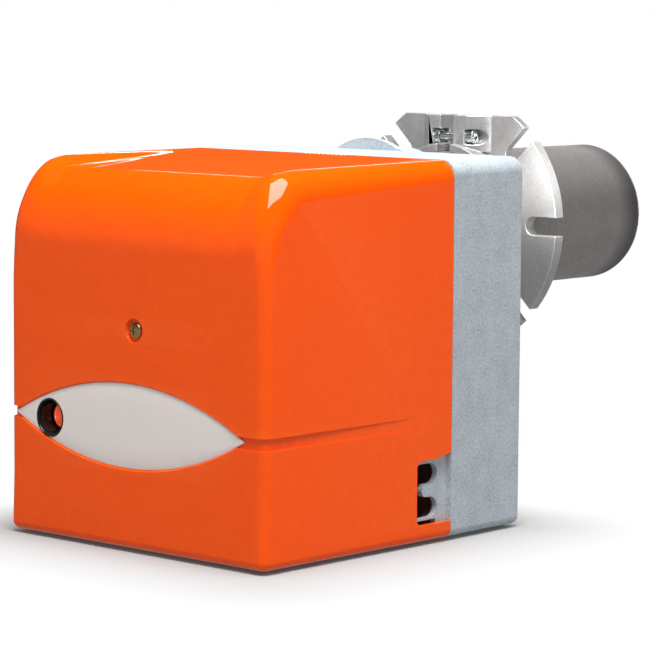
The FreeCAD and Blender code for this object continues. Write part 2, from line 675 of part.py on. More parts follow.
    def hollow(self, core):
        """Cut another body out of this one; that body's place counts from this one's."""
        feature = self.body.newObject("PartDesign::Boolean", self.label + "_hollow")
        feature.Type = "Cut"
        feature.setObjects([core.body])
        self.finish(feature)
        return feature


def at_level(letter, value):
    """Test for an edge that lies in one plane square to an axis."""
    def test(edge):
        low = getattr(edge.BoundBox, letter + "Min")
        high = getattr(edge.BoundBox, letter + "Max")
        return abs(low - float(value)) < NEAR and abs(high - float(value)) < NEAR
    return test


def add_screws(group, plane, face, sense, places, length=None):
    """Pan-head screws: heads stand on a face towards sense, shanks go the other way."""
    head = face + d.screw_head_height * sense
    tip = face - (length or d.screw_length) * sense
    levels = [face, head] if sense > 0 else [head, face]
    group.pad(plane, *levels, *[Circle(u, v, d.screw_head) for u, v in places])
    levels = [tip, face] if sense > 0 else [face, tip]
    group.pad(plane, *levels, *[Circle(u, v, d.screw_radius) for u, v in places])


def holes(places, radius=None):
    """Clearance holes for screws."""
    return [Circle(u, v, radius or screw_hole) for u, v in places]


# Body: the die-cast box behind the hood

def body_outline(inset):
    """Body's outline, drawn in by a wall."""
    side = half_width - inset
    top = d.body_height - inset
    corner = d.body_corner - inset
    foot = d.body_foot - inset
    low = dim(inset)
    return [(side - foot, low), Arc(side, low + foot, foot, 1),
            (side, top - corner), Arc(side - corner, top, corner, 1),
            (corner - side, top), Arc(-side, top - corner, corner, 1),
            (-side, low + foot), Arc(foot - side, low, foot, 1)]


def comb_outline():
    """Comb seen along X: two notches, open to the front, that hold the oil hoses."""
    low = d.notch_low
    high = d.notch_low + d.notch_pitch
    gap = d.notch_radius
    seat = -d.notch_centre
    tip = (d.notch_pitch - gap * 2) / 2
    reach = -d.comb_reach
    return [(d.comb_root, d.comb_low), (reach, d.comb_low), (reach, low - gap), (seat, low - gap),
            Arc(seat, low + gap, gap, 1), (seat - tip, low + gap), Arc(seat - tip, high - gap, tip, -1),
            (seat, high - gap), Arc(seat, high + gap, gap, 1), (reach, high + gap),
            (reach, d.comb_high), (d.comb_root, d.comb_high)]


def make_burner_body():
    """Die-cast body with screw bosses, neck, round pad and hose comb."""
    body = Piece("burner_body")
    inner_face = d.body_depth - d.body_back
    body.pad("XZ", 0, d.body_depth, body_outline(0))
    body.round(d.body_rear_edge, at_level("Y", d.body_depth))
    body.cut("XZ", 0, inner_face, body_outline(d.body_wall))
    body.pad("XZ", plate_rear, inner_face + d.body_back / 2, *holes(plate_screw_places, d.boss_radius))
    body.cut("XZ", plate_rear, plate_rear + d.screw_length, *holes(plate_screw_places))
    body.pad("XZ", d.body_depth, d.body_depth + d.pad_thickness,
             Circle(-d.pad_aside, d.axis_height + d.pad_rise, d.pad_radius))
    body.pad("XZ", d.body_depth, d.body_depth + d.neck_length, Circle(0, d.axis_height, d.neck_radius))
    body.cut("XZ", d.body_depth, d.body_depth + d.neck_length + d.cut_over,
             Circle(0, d.axis_height, d.tube_radius + d.clearance))
    body.cut("XZ", inner_face - d.cut_over, d.body_depth + d.cut_over, Circle(0, d.axis_height, air_hole))
    set_screw = Circle(d.body_depth + d.neck_length / 2, d.axis_height, screw_hole)
    body.cut("YZ", -d.neck_radius, d.neck_radius, set_screw)
    comb_outer = comb_face + d.comb_thickness
    body.pad("YZ", comb_face, comb_outer, comb_outline())
    body.pad("YZ", comb_outer - d.cut_over, half_width - d.body_wall / 2,
             box(0, d.comb_low, d.comb_root, d.comb_high))


def make_mounting_plate():
    """Steel plate in the body's mouth that carries everything under the hood."""
    plate = Piece("mounting_plate")
    rear = plate_rear + d.cut_over
    front = d.plate_front - d.cut_over
    plate.pad("XZ", d.plate_front, plate_rear, body_outline(d.body_wall + d.clearance))
    plate.cut("XZ", front, rear, box(comb_face - d.clearance, d.comb_low - d.clearance,
                                     half_width, d.comb_high + d.clearance))
    plate.cut("XZ", front, rear, box(d.scroll_left, scroll_top - d.scroll_port,
                                     d.scroll_right - d.scroll_wall, scroll_top))
    plate.cut("XZ", front, rear, Circle(0, d.axis_height, d.plate_hole))
    plate.cut("XZ", front, rear, *holes(plate_screw_places + port_screw_places + bracket_screw_places
                                        + tab_screw_places + cover_screw_places))


def make_plate_screws():
    """All the screws that go into or through the mounting plate."""
    group = Piece("plate_screws")
    add_screws(group, "XZ", d.plate_front, -1, plate_screw_places)
    add_screws(group, "XZ", rim_face, -1, port_screw_places + tab_screw_places)
    add_screws(group, "XZ", d.plate_front - d.bracket_sheet, -1, bracket_screw_places)
    add_screws(group, "XZ", d.plate_front - d.cover_thickness, -1, cover_screw_places)


# Blast tube and sliding flange

def make_blast_tube():
    """Steel tube with a rolled mouth."""
    length = d.mouth_reach - d.body_depth
    outer = d.tube_radius
    inner = air_hole
    roll = d.lip_radius
    tube = Piece("blast_tube", 0, d.body_depth, d.axis_height, "Y")
    tube.turned((inner, 0), (outer, 0), (outer, length - roll), Arc(outer - roll, length, roll, 1),
                (outer - roll, length - d.tube_wall), Arc(inner, length - roll, roll - d.tube_wall, -1))


def make_tube_screws():
    """Set screws that hold the tube in the neck."""
    group = Piece("tube_screws")
    seat = d.tube_radius + d.clearance
    place = Circle(d.body_depth + d.neck_length / 2, d.axis_height, d.screw_radius)
    group.pad("YZ", seat, seat + d.set_screw_length, place)
    group.pad("YZ", -seat - d.set_screw_length, -seat, place)


def flange_outline():
    """Round flange with a flat top, seen along the tube and centred on it."""
    corner = root(d.flange_radius * d.flange_radius - d.flange_flat * d.flange_flat)
    return [(-corner, d.flange_flat), Arc(0, -d.flange_radius, d.flange_radius, 1),
            Arc(corner, d.flange_flat, d.flange_radius, 1)]


def u_slot(x, y, radius, open_end):
    """Slot with a round end, open towards lower x."""
    return [(open_end, y - radius), (x, y - radius), Arc(x, y + radius, radius, 1), (open_end, y + radius)]


def make_boiler_flange():
    """Cast flange: a clamping ring split at the top, radial stud slots and two thinner top wings."""
    flange = Piece("boiler_flange", 0, 0, d.axis_height)
    front = d.flange_front
    rear = flange_rear + d.cut_over
    half_slot = d.slot_width / 2
    slot_seat = d.slot_inner + half_slot
    reach = d.flange_radius + d.cut_over
    flange.pad("XZ", front, flange_rear, flange_outline())
    slot = flange.cut("XZ", front - d.cut_over, rear,
                      [(reach, -half_slot), (reach, half_slot), (slot_seat, half_slot),
                       Arc(slot_seat, -half_slot, half_slot, 1)])
    flange.pattern(slot, "Y_Axis", FLANGE_SLOTS)
    flange.cut("XZ", front - d.cut_over, front + d.wing_step, [(0, 0), (reach, reach), (-reach, reach)])
    flange.pad("XZ", front - d.ring_length, flange_rear, Circle(0, 0, d.ring_radius))
    lug_front = front - d.lug_front
    wing_face = front + d.wing_step
    slope = wing_face - lug_front
    for side in (-1, 1):
        flange.pad("XY", d.tube_radius, d.flange_flat,
                   [(0, lug_front), (side * lug_side, lug_front), (side * (lug_side + slope), wing_face),
                    (side * (lug_side + slope), flange_rear), (0, flange_rear)])
    ring_front = front - d.ring_length - d.cut_over
    flange.cut("XZ", ring_front, rear, Circle(0, 0, d.tube_radius + d.clearance))
    flange.cut("XZ", ring_front, rear,
               box(-d.split_gap / 2, d.tube_radius / 2, d.split_gap / 2, d.flange_flat + d.cut_over))
    head_pocket = u_slot(clamp_place, d.clamp_rise, d.pocket_radius, lug_front - d.cut_over)
    flange.cut("YZ", lug_side - d.clamp_seat, lug_side + slope, head_pocket)
    nut_pocket = box(lug_front - d.cut_over, d.clamp_rise - d.pocket_radius,
                     clamp_place + d.pocket_radius, d.clamp_rise + d.pocket_radius)
    flange.cut("YZ", d.nut_wall - lug_side, d.cut_over - d.split_gap / 2, nut_pocket)
    flange.cut("YZ", -lug_side - slope, lug_side,
               Circle(clamp_place, d.clamp_rise, d.clamp_radius + d.clearance))


def make_clamp():
    """Screw and nut that draw the flange's lugs together."""
    height = d.axis_height + d.clamp_rise
    seat = lug_side - d.clamp_seat
    screw = Piece("clamp_screw")
    screw.pad("YZ", -lug_side, seat, Circle(clamp_place, height, d.clamp_radius))
    screw.pad("YZ", seat, seat + d.clamp_head_length, Circle(clamp_place, height, d.clamp_head))
    screw.cut("YZ", seat + d.clamp_head_length / 2, seat + d.clamp_head_length + d.cut_over,
              hexagon(clamp_place, height, d.clamp_key))
    nut = Piece("clamp_nut")
    outer = d.nut_wall - lug_side
    nut.pad("YZ", outer, outer + d.nut_length, hexagon(clamp_place, height, d.pocket_radius - d.clearance),
            Circle(clamp_place, height, d.clamp_radius + d.clearance))


# Hood: a moulded shell, its badge, the reset collar and the hood screw

def hood_outline(depth, inset):
    """Hood's section at a depth in front of the seam, drawn in by a wall."""
    share = depth / d.hood_depth
    side = half_width - d.hood_draft * share - inset
    back = d.hood_brow - d.hood_crease
    crease_height = brow_low + root(d.hood_brow * d.hood_brow - back * back)
    fall = (d.body_height - crease_height) / (d.hood_depth - d.hood_crease)
    top = d.body_height - fall * depth - inset
    corner = d.body_corner + (d.hood_corner_front - d.body_corner) * share - inset
    foot = d.body_foot - inset
    low = dim(inset)
    return [(side - foot, low), Arc(side, low + foot, foot, 1),
            (side, top - corner), Arc(side - corner, top, corner, 1),
            (corner - side, top), Arc(-side, top - corner, corner, 1),
            (-side, low + foot), Arc(foot - side, low, foot, 1)]


def hood_corner(inset, radius):
    """Front upright edge seen from above: where its round starts on the side and on the front."""
    draft = d.hood_draft / d.hood_depth
    norm = root(draft * draft + 1)
    front = d.hood_depth - inset
    centre_depth = front - radius
    centre = half_width - inset - draft * centre_depth - radius * norm
    return centre + radius / norm, centre_depth + radius * draft / norm, centre, front


def badge_lens(grow):
    """Lens of two arcs, seen from the front."""
    half = d.badge_half + grow
    rise = d.badge_rise + grow
    radius = (half * half + rise * rise) / (rise * 2)
    left = -d.badge_aside - half
    right = half - d.badge_aside
    return [Arc(right, d.badge_height, radius, 1), Arc(left, d.badge_height, radius, 1)]


def hood_form(label, place, start, inset):
    """Solid form of the hood, drawn in by a wall: drafted box, brow, round edges, groove and badge recess."""
    form = Piece(label, 0, place)
    front = d.hood_depth - inset
    form.loft("XZ", -start, hood_outline(start, inset), -front, hood_outline(front, inset))
    brow = d.hood_brow - inset
    begin = d.hood_depth - d.hood_crease - d.cut_over - inset
    run = begin - d.hood_depth + d.hood_brow
    begin_height = brow_low + root(brow * brow - run * run)
    above = d.body_height + d.cut_over
    beyond = d.hood_depth + d.cut_over
    form.cut("YZ", -half_width, half_width,
             [(-begin, begin_height), Arc(-front, brow_low, brow, 1), (-beyond, brow_low),
              (-beyond, above), (-begin, above)])
    outside = half_width + d.cut_over
    edge = d.hood_edge - inset
    side, side_depth, corner, _ = hood_corner(inset, edge)
    for turn in (-1, 1):
        form.cut("XY", -d.cut_over, above,
                 [(turn * outside, -side_depth), (turn * outside, -beyond), (turn * corner, -beyond),
                  (turn * corner, -front), Arc(turn * side, -side_depth, edge, turn)])
    deep = inset + d.groove_depth
    edge = d.hood_edge - deep
    side, side_depth, corner, floor = hood_corner(deep, edge)
    stop = d.groove_stop - inset
    stop_side = half_width - deep - d.hood_draft * stop / d.hood_depth
    form.cut("XY", d.groove_low - inset, d.groove_low + d.groove_height + inset,
             [(outside, -stop), (outside, -beyond), (-outside, -beyond), (-outside, -stop),
              (-stop_side, -stop), (-side, -side_depth), Arc(-corner, -floor, edge, 1),
              (corner, -floor), Arc(side, -side_depth, edge, 1), (stop_side, -stop)])
    form.cut("XZ", -beyond, -floor, badge_lens(inset))
    return form


def make_hood():
    """Moulded hood: shell with hose window, reset opening, screw column and air slots in the floor."""
    hood = hood_form("hood", 0, d.hood_seam, dim(0))
    hood.hollow(hood_form("hood_core", -seam, dim(0), d.hood_wall))
    screw = (d.hood_screw_aside, d.hood_screw_height)
    front = -(d.hood_depth + d.cut_over)
    floor = d.groove_depth - d.hood_depth
    column_end = -(d.column_front + d.clearance)
    hood.pad("XZ", d.hood_wall / 2 - d.hood_depth, column_end, Circle(*screw, d.column_radius))
    hood.cut("XZ", front, floor, Circle(*screw, d.dish_radius))
    hood.cut("XZ", floor - d.cut_over, column_end + d.cut_over,
             Circle(*screw, d.hood_screw_radius + d.clearance))
    hood.cut("XZ", front, floor + d.hood_wall + d.cut_over,
             Circle(-d.reset_aside, d.reset_height, d.reset_hole))
    open_end = d.cut_over
    depth = -d.window_depth
    corner = d.window_corner
    hood.cut("YZ", half_width - d.hood_wall * 2, half_width + d.cut_over,
             [(open_end, d.window_low), (depth + corner, d.window_low),
              Arc(depth, d.window_low + corner, corner, -1), (depth, d.window_high - corner),
              Arc(depth + corner, d.window_high, corner, -1), (open_end, d.window_high)])
    vents = []
    for index in range(VENTS):
        x = d.vent_pitch * (index - (VENTS - 1) / 2)
        vents.append(box(x - d.vent_width / 2, -d.vent_front, x + d.vent_width / 2, -d.vent_back))
    hood.cut("XY", -d.cut_over, d.hood_wall + d.cut_over, *vents)


def make_badge():
    """Bare lens-shaped plate in the hood's recess, with the reset opening in it."""
    floor = d.groove_depth - d.hood_depth
    badge = Piece("badge")
    badge.pad("XZ", floor - d.badge_thickness, floor, badge_lens(-d.clearance),
              Circle(-d.reset_aside, d.reset_height, d.reset_hole))


def make_reset_collar():
    """Black sleeve that leads a finger to the reset button."""
    front = d.groove_depth - d.hood_depth - d.badge_thickness
    outer = d.reset_hole - d.clearance
    inner = outer - d.collar_wall
    shelf = d.badge_thickness + d.hood_wall
    rim = shelf + d.collar_rim
    collar = Piece("reset_collar", -d.reset_aside, front, d.reset_height, "Y")
    collar.turned((inner, 0), (outer, 0), (outer, shelf), (outer + d.collar_rim, shelf),
                  (outer + d.collar_rim, rim), (outer, rim), (outer, d.collar_depth), (inner, d.collar_depth))


def make_hood_screw():
    """Screw in the dish of the hood's front."""
    floor = d.groove_depth - d.hood_depth
    place = (d.hood_screw_aside, d.hood_screw_height)
    screw = Piece("hood_screw")
    screw.pad("XZ", -d.hood_depth, floor, Circle(*place, d.hood_screw_head))
    screw.pad("XZ", floor, floor + d.hood_screw_length, Circle(*place, d.hood_screw_radius))


# Fan side: scroll, cover, motor, fan wheel and coupling

def scroll_outline(offset, end):
    """Scroll seen along X: three growing round walls and a straight outlet. Offset 0 is the inner face."""
    offset = dim(offset)
    first = d.scroll_start + offset
    second = scroll_second + offset
    third = scroll_third + offset
    y = -d.scroll_front
    z = d.scroll_height
    floor = scroll_top - d.scroll_port - offset
    tongue = y + root(first * first - (floor - z) * (floor - z))
    return [(end, floor), (tongue, floor), Arc(y, z - first, first, -1),
            Arc(y - second, z + d.scroll_step, second, -1),
            Arc(y + d.scroll_step, scroll_top + offset, third, -1), (end, scroll_top + offset)]


def scroll_ears():
    """Places of the screw ears round the scroll, seen along X."""
    out = d.scroll_wall + d.ear_radius / 2
    y = -d.scroll_front
    z = d.scroll_height
    _, up_left, down_left, down_right = DIAGONALS
    return [on_circle(d.scroll_start + out, down_right, y, z),
            on_circle(scroll_second + out, down_left, y, z + d.scroll_step),
            on_circle(scroll_third + out, up_left, y + d.scroll_step, z + d.scroll_step),
            (-d.shaft_front / 2, scroll_top + out)]


def make_fan_scroll():
    """Cast scroll round the fan wheel, with its outlet flange, screw ears and the hood's screw column."""
    scroll = Piece("fan_scroll")
    left, right = d.scroll_left, d.scroll_right
    scroll.pad("YZ", left, right, scroll_outline(d.scroll_wall, d.plate_front))
    for y, z in scroll_ears():
        scroll.pad("YZ", left, left + d.ear_length, Circle(y, z, d.ear_radius))
    column = (d.hood_screw_aside, d.hood_screw_height)
    scroll.pad("XZ", -d.column_front, -d.shaft_front, Circle(*column, d.column_radius))
    rim_low = scroll_top - d.scroll_port - d.scroll_rim
    scroll.pad("XZ", rim_face, d.plate_front, box(rim_left, rim_low, rim_right, scroll_top + d.scroll_wall))
    inner_right = right - d.scroll_wall
    scroll.cut("YZ", left - d.cut_over, inner_right, scroll_outline(0, d.plate_front))
    scroll.cut("YZ", inner_right - d.cut_over, right + d.cut_over,
               Circle(-d.shaft_front, d.shaft_height, d.eye_radius))
    scroll.cut("XZ", -d.column_front - d.cut_over, d.hood_screw_length - d.column_front,
               Circle(*column, d.hood_screw_radius + d.clearance))
    scroll.cut("YZ", left - d.cut_over, left + d.screw_length, *holes(scroll_ears()))
    scroll.cut("YZ", inner_right - d.cut_over, right + d.cut_over, *holes(box_screw_places))
    scroll.cut("XZ", rim_face - d.cut_over, d.plate_front + d.cut_over, *holes(port_screw_places))


def make_scroll_cover():
    """Plate that closes the scroll and carries the motor."""
    cover = Piece("scroll_cover")
    cover.pad("YZ", cover_left, d.scroll_left, scroll_outline(d.scroll_wall, rim_face - d.clearance))
    for y, z in scroll_ears():
        cover.pad("YZ", cover_left, d.scroll_left, Circle(y, z, d.ear_radius))
    cover.cut("YZ", cover_left - d.cut_over, d.scroll_left + d.cut_over,
              Circle(-d.shaft_front, d.shaft_height, d.shaft_radius + d.cut_over),
              *holes(scroll_ears() + motor_screw_places))


def make_scroll_screws():
    """Screws of the scroll's cover and of the air box."""
    group = Piece("scroll_screws")
    add_screws(group, "YZ", cover_left, -1, scroll_ears())
    add_screws(group, "YZ", box_left + d.box_ear_length, 1, box_screw_places, d.thin_screw_length)


def on_shaft(label):
    """A piece centred on the motor shaft."""
    return Piece(label, 0, -d.shaft_front, d.shaft_height)


def ring(outer, inner):
    """Ring round the piece's own axis."""
    return [Circle(0, 0, outer), Circle(0, 0, inner)]


def make_motor_housing():
    """Motor housing with cooling grooves and the right bearing's seat."""
    housing = on_shaft("motor_housing")
    wall = cover_left - d.motor_front
    seat = d.bearing_radius + d.clearance
    housing.pad("YZ", d.motor_left, cover_left, Circle(0, 0, d.motor_radius))
    groove = housing.cut("YZ", d.motor_left + d.motor_wall, wall,
                         box(-d.groove_across / 2, d.motor_radius - d.groove_cut,
                             d.groove_across / 2, d.motor_radius + d.cut_over))
    housing.pattern(groove, "X_Axis", MOTOR_GROOVES)
    housing.cut("YZ", d.motor_left - d.cut_over, wall, Circle(0, 0, d.motor_radius - d.motor_wall))
    housing.pad("YZ", wall - d.bearing_width, wall, *ring(d.bearing_hub, seat))
    housing.cut("YZ", wall - d.cut_over, cover_left + d.cut_over, Circle(0, 0, d.shaft_radius + d.cut_over))
    places = [on_circle(d.motor_screw_circle, angle) for angle in DIAGONALS]
    housing.cut("YZ", d.scroll_left - d.screw_length, cover_left + d.cut_over, *holes(places))


def make_motor_end_cap():
    """End cap with the left bearing's seat."""
    cap = Piece("motor_end_cap", d.motor_left, -d.shaft_front, d.shaft_height, "-X")
    seat = d.bearing_radius + d.clearance
    outer = d.motor_radius
    edge = d.motor_wall
    cap.turned((0, 0), (seat, 0), (seat, -d.bearing_width), (d.bearing_hub, -d.bearing_width),
               (d.bearing_hub, 0), (outer, 0), (outer, d.motor_cap - edge),
               Arc(outer - edge, d.motor_cap, edge, 1), (0, d.motor_cap))


def make_motor_inside():
    """Stator, windings, bearings, rotor and shaft."""
    stator = on_shaft("motor_stator")
    stator.pad("YZ", d.stator_left, d.stator_right,
               *ring(d.motor_radius - d.motor_wall - d.clearance, d.stator_bore))
    windings = on_shaft("motor_windings")
    winding = ring(d.winding_outer, d.winding_inner)
    windings.pad("YZ", d.stator_left - d.winding_length, d.stator_left, *winding)
    windings.pad("YZ", d.stator_right, d.stator_right + d.winding_length, *winding)
    bearings = on_shaft("motor_bearings")
    bore = d.shaft_radius + d.shaft_gap
    right_seat = cover_left - d.motor_front
    for end in (d.motor_left + d.bearing_width + d.clearance, right_seat - d.clearance):
        bearings.pad("YZ", end - d.bearing_width, end, *ring(d.bearing_radius, bore))
    rotor = on_shaft("motor_rotor")
    rotor.pad("YZ", d.stator_left, d.stator_right, *ring(d.rotor_radius, bore))
    shaft = on_shaft("motor_shaft")
    shaft.pad("YZ", d.shaft_left, d.shaft_right, Circle(0, 0, d.shaft_radius))


def make_motor_screws():
    """Screws that hold the motor to the scroll's cover."""
    add_screws(Piece("motor_screws"), "YZ", d.scroll_left, 1, motor_screw_places)


def make_capacitor():
    """Motor capacitor and the two saddles it lies in."""
    capacitor = Piece("motor_capacitor")
    right = d.capacitor_left + d.capacitor_length
    place = (-d.shaft_front, capacitor_height)
    capacitor.pad("YZ", d.capacitor_left, right, Circle(*place, d.capacitor_radius))
    saddles = Piece("capacitor_saddles")
    motor_top = d.shaft_height + d.motor_radius
    block = box(-d.shaft_front - d.saddle_width / 2, motor_top - d.saddle_rise,
                d.saddle_width / 2 - d.shaft_front, motor_top + d.saddle_rise)
    for start in (d.capacitor_left + d.saddle_inset, right - d.saddle_inset - d.saddle_length):
        saddles.pad("YZ", start, start + d.saddle_length, block)
    saddles.cut("YZ", d.capacitor_left, right,
                Circle(-d.shaft_front, d.shaft_height, d.motor_radius + d.clearance))
    saddles.cut("YZ", d.capacitor_left, right, Circle(*place, d.capacitor_radius + d.clearance))


def make_fan_wheel():
    """Fan wheel with forward-curved blades between a back plate and a ring, and its set screw."""
    wheel = on_shaft("fan_wheel")
    bore = d.shaft_radius + d.shaft_gap
    wheel.pad("YZ", d.fan_left, d.fan_left + d.fan_sheet, *ring(d.fan_radius, bore))
    wheel.pad("YZ", d.fan_left, d.fan_left + d.hub_length, *ring(d.hub_radius, bore))
    wheel.pad("YZ", d.fan_right - d.fan_sheet, d.fan_right, *ring(d.fan_radius, d.fan_ring))
    tip = d.fan_radius - d.blade_thickness / 2
    x0, y0 = d.fan_eye, dim(0)
    x1, y1 = tip * math.cos(BLADE_SWEEP), -tip * math.sin(BLADE_SWEEP)
    span = root((x1 - x0) * (x1 - x0) + (y1 - y0) * (y1 - y0))
    rise = root(d.blade_curve * d.blade_curve - span * span / 4)
    centre_x = (x0 + x1) / 2 + (y1 - y0) / span * rise
    centre_y = (y0 + y1) / 2 - (x1 - x0) / span * rise
    share = d.blade_thickness / d.blade_curve
    inner_curve = d.blade_curve - d.blade_thickness
    blade = wheel.pad("YZ", d.fan_left + d.fan_sheet / 2, d.fan_right - d.fan_sheet / 2,
                      [(x0, y0), Arc(x1, y1, d.blade_curve, -1),
                       (x1 + (centre_x - x1) * share, y1 + (centre_y - y1) * share),
                       Arc(x0 + (centre_x - x0) * share, y0 + (centre_y - y0) * share, inner_curve, 1)])
    wheel.pattern(blade, "X_Axis", BLADES)
    middle = d.fan_left + d.hub_length - d.hub_radius / 2
    wheel.cut("XY", d.shaft_radius, d.hub_radius + d.cut_over, Circle(middle, 0, screw_hole))
    set_screw = on_shaft("fan_set_screw")
    seat = d.shaft_radius + d.clearance
    set_screw.pad("XY", seat, seat + d.set_screw_length, Circle(middle, 0, d.screw_radius))


def make_pump_drive():
    """Coupling between the motor shaft and the pump shaft."""
    coupling = on_shaft("pump_coupling")
    pump_start = d.shaft_right + d.coupling_gap
    split = d.shaft_right + d.coupling_gap / 2
    coupling.pad("YZ", d.coupling_left, split, *ring(d.coupling_radius, d.shaft_radius + d.shaft_gap))
    coupling.pad("YZ", split, d.coupling_right, *ring(d.coupling_radius, d.pump_shaft_radius + d.shaft_gap))
    shaft = on_shaft("pump_shaft")
    shaft.pad("YZ", pump_start, d.box_right + d.pump_shaft_depth, Circle(0, 0, d.pump_shaft_radius))


# Air side: air box with its inlet duct, and the damper

def make_air_box():
    """Flat drum over the scroll's eye with an inlet duct to the front."""
    air_box = Piece("air_box")
    left, right, wall = box_left, d.box_right, d.box_wall
    axis = (-d.shaft_front, d.shaft_height)
    mouth = -d.duct_mouth
    air_box.pad("YZ", left, right, Circle(*axis, d.box_radius))
    air_box.pad("YZ", left, right, box(mouth, d.duct_low, -d.shaft_front, d.duct_high))
    for place in box_screw_places:
        air_box.pad("YZ", left, left + d.box_ear_length, Circle(*place, d.ear_radius))
    air_box.cut("YZ", left + wall, right - wall, Circle(*axis, d.box_radius - wall))
    air_box.cut("YZ", left + wall, right - wall,
                box(mouth - d.cut_over, d.duct_low + wall, -d.shaft_front, d.duct_high - wall))
    air_box.cut("YZ", left - d.cut_over, left + wall + d.cut_over, Circle(*axis, d.eye_radius))
    air_box.cut("YZ", right - wall - d.cut_over, right + d.cut_over, Circle(*axis, d.box_hole))
    air_box.cut("XY", d.duct_low - d.cut_over, d.duct_high + d.cut_over,
                Circle(duct_middle, -d.damper_front, d.damper_shaft + d.shaft_gap))
    air_box.cut("YZ", left - d.cut_over, left + d.box_ear_length + d.cut_over, *holes(box_screw_places))


def make_damper():
    """Butterfly damper in the duct and the knob that sets it."""
    wall = d.box_wall
    half = (d.box_right - box_left) / 2 - wall - d.clearance
    place = Circle(duct_middle, -d.damper_front, d.damper_shaft)
    flap = Piece("damper_flap")
    flap.pad("XY", d.duct_low, d.duct_high + d.knob_height / 2, place)
    flap.pad("XY", d.duct_low + wall + d.clearance, d.duct_high - wall - d.clearance,
             box(duct_middle - half, -d.damper_front - d.damper_blade / 2,
                 duct_middle + half, d.damper_blade / 2 - d.damper_front))
    knob = Piece("damper_knob", duct_middle, -d.damper_front, d.duct_high + d.clearance)
    bore = d.damper_shaft + d.clearance
    edge = d.knob_edge
    cavity = d.knob_height / 2
    knob.turned((bore, 0), (d.knob_radius, 0), (d.knob_radius, d.knob_height - edge),
                Arc(d.knob_radius - edge, d.knob_height, edge, 1), (0, d.knob_height), (0, cavity),
                (bore, cavity))


# Oil side: pump, valve, pipe, nozzle line and combustion head

def make_pump():
    """Gear pump on the air box, its cover, cover screws and hose nipples."""
    pump = on_shaft("oil_pump")
    half = d.pump_half
    right = d.box_right + d.pump_length
    middle = d.box_right + d.pump_length / 2
    pump.pad("YZ", d.box_right, right, soft_box(-half, -half, half, half, d.pump_corner))
    pump.cut("YZ", d.box_right - d.cut_over, d.box_right + d.pump_shaft_depth + d.cut_over,
             Circle(0, 0, d.pump_shaft_radius + d.shaft_gap))
    inset = d.pump_cover_half - d.pump_corner
    places = [(y, z) for y in (-inset, inset) for z in (-inset, inset)]
    outer = right + d.pump_cover_length
    pump.cut("YZ", outer - d.screw_length - d.clearance, right + d.cut_over, *holes(places))
    cover = on_shaft("pump_cover")
    side = d.pump_cover_half
    cover.pad("YZ", right, outer, soft_box(-side, -side, side, side, d.pump_corner), *holes(places))
    add_screws(on_shaft("pump_screws"), "YZ", outer, 1, places)
    nipples = on_shaft("hose_nipples")
    nipple_places = [(middle - d.nipple_pitch / 2, 0), (middle + d.nipple_pitch / 2, 0)]
    nipples.pad("XY", -half - d.nipple_length, -half, *holes(nipple_places, d.nipple_radius),
                *holes(nipple_places, d.nipple_bore))


def make_valve():
    """Solenoid valve on the pump: stem with collar and nut, and the coil round it."""
    middle = d.box_right + d.pump_length / 2
    stem = Piece("valve_stem", middle, -d.shaft_front, pump_top)
    coil_low = d.stem_foot
    coil_high = coil_low + d.coil_height
    stem.turned((0, 0), (d.stem_collar, 0), (d.stem_collar, coil_low), (d.stem_radius, coil_low),
                (d.stem_radius, coil_high), (d.stem_collar, coil_high),
                (d.stem_collar, coil_high + d.stem_nut), (0, coil_high + d.stem_nut))
    coil = Piece("valve_coil", middle, -d.shaft_front, pump_top)
    side = d.coil_side / 2
    coil.pad("XY", coil_low, coil_high, soft_box(-side, -side, side, side, d.coil_corner),
             Circle(0, 0, d.stem_radius + d.clearance))


def bent_wire(label, paths, radius, bend):
    """Round wire or pipe along straight runs joined by tangent bends, one solid for each path."""
    solids = []
    for path in paths:
        points = [FreeCAD.Vector(*[float(value) for value in place]) for place in path]
        edges = []
        start = points[0]
        for before, corner, after in zip(points, points[1:], points[2:]):
            inward = (corner - before).normalize()
            outward = (after - corner).normalize()
            turn = inward.getAngle(outward)
            setback = float(bend) * math.tan(turn / 2)
            entry = corner - inward * setback
            leave = corner + outward * setback
            to_centre = (outward - inward).normalize()
            centre = corner + to_centre * (float(bend) / math.cos(turn / 2))
            edges.append(Part.LineSegment(start, entry).toShape())
            edges.append(Part.Arc(entry, centre - to_centre * float(bend), leave).toShape())
            start = leave
        edges.append(Part.LineSegment(start, points[-1]).toShape())
        spine = Part.Wire(edges)
        first = (points[1] - points[0]).normalize()
        profile = Part.Wire([Part.makeCircle(float(radius), points[0], first)])
        solids.append(spine.makePipeShell([profile], True, False))
    feature = doc.addObject("Part::Feature", label)
    feature.Label = label
    feature.Shape = Part.makeCompound(solids) if len(solids) > 1 else solids[0]
    feature.Placement = FreeCAD.Placement(FreeCAD.Vector(0, float(seam), 0), FreeCAD.Rotation())


def make_oil_pipe():
    """Copper pipe from the pump to the nozzle line, and the union it leaves the pump by."""
    side = d.pipe_side
    union = Piece("pipe_union")
    union.pad("XZ", -(pump_face + d.union_length), -pump_face, Circle(side, d.pipe_low, d.union_radius),
              Circle(side, d.pipe_low, d.pipe_radius + d.clearance))
    elbow_depth = -(d.line_start + d.elbow_length / 2)
    bent_wire("oil_pipe", [[(side, -pump_face - d.clearance, d.pipe_low), (side, -d.pipe_front, d.pipe_low),
                            (side, -d.pipe_front, d.axis_height), (side, elbow_depth, d.axis_height),
                            (d.elbow_radius + d.clearance, elbow_depth, d.axis_height)]],
              d.pipe_radius, d.pipe_bend)


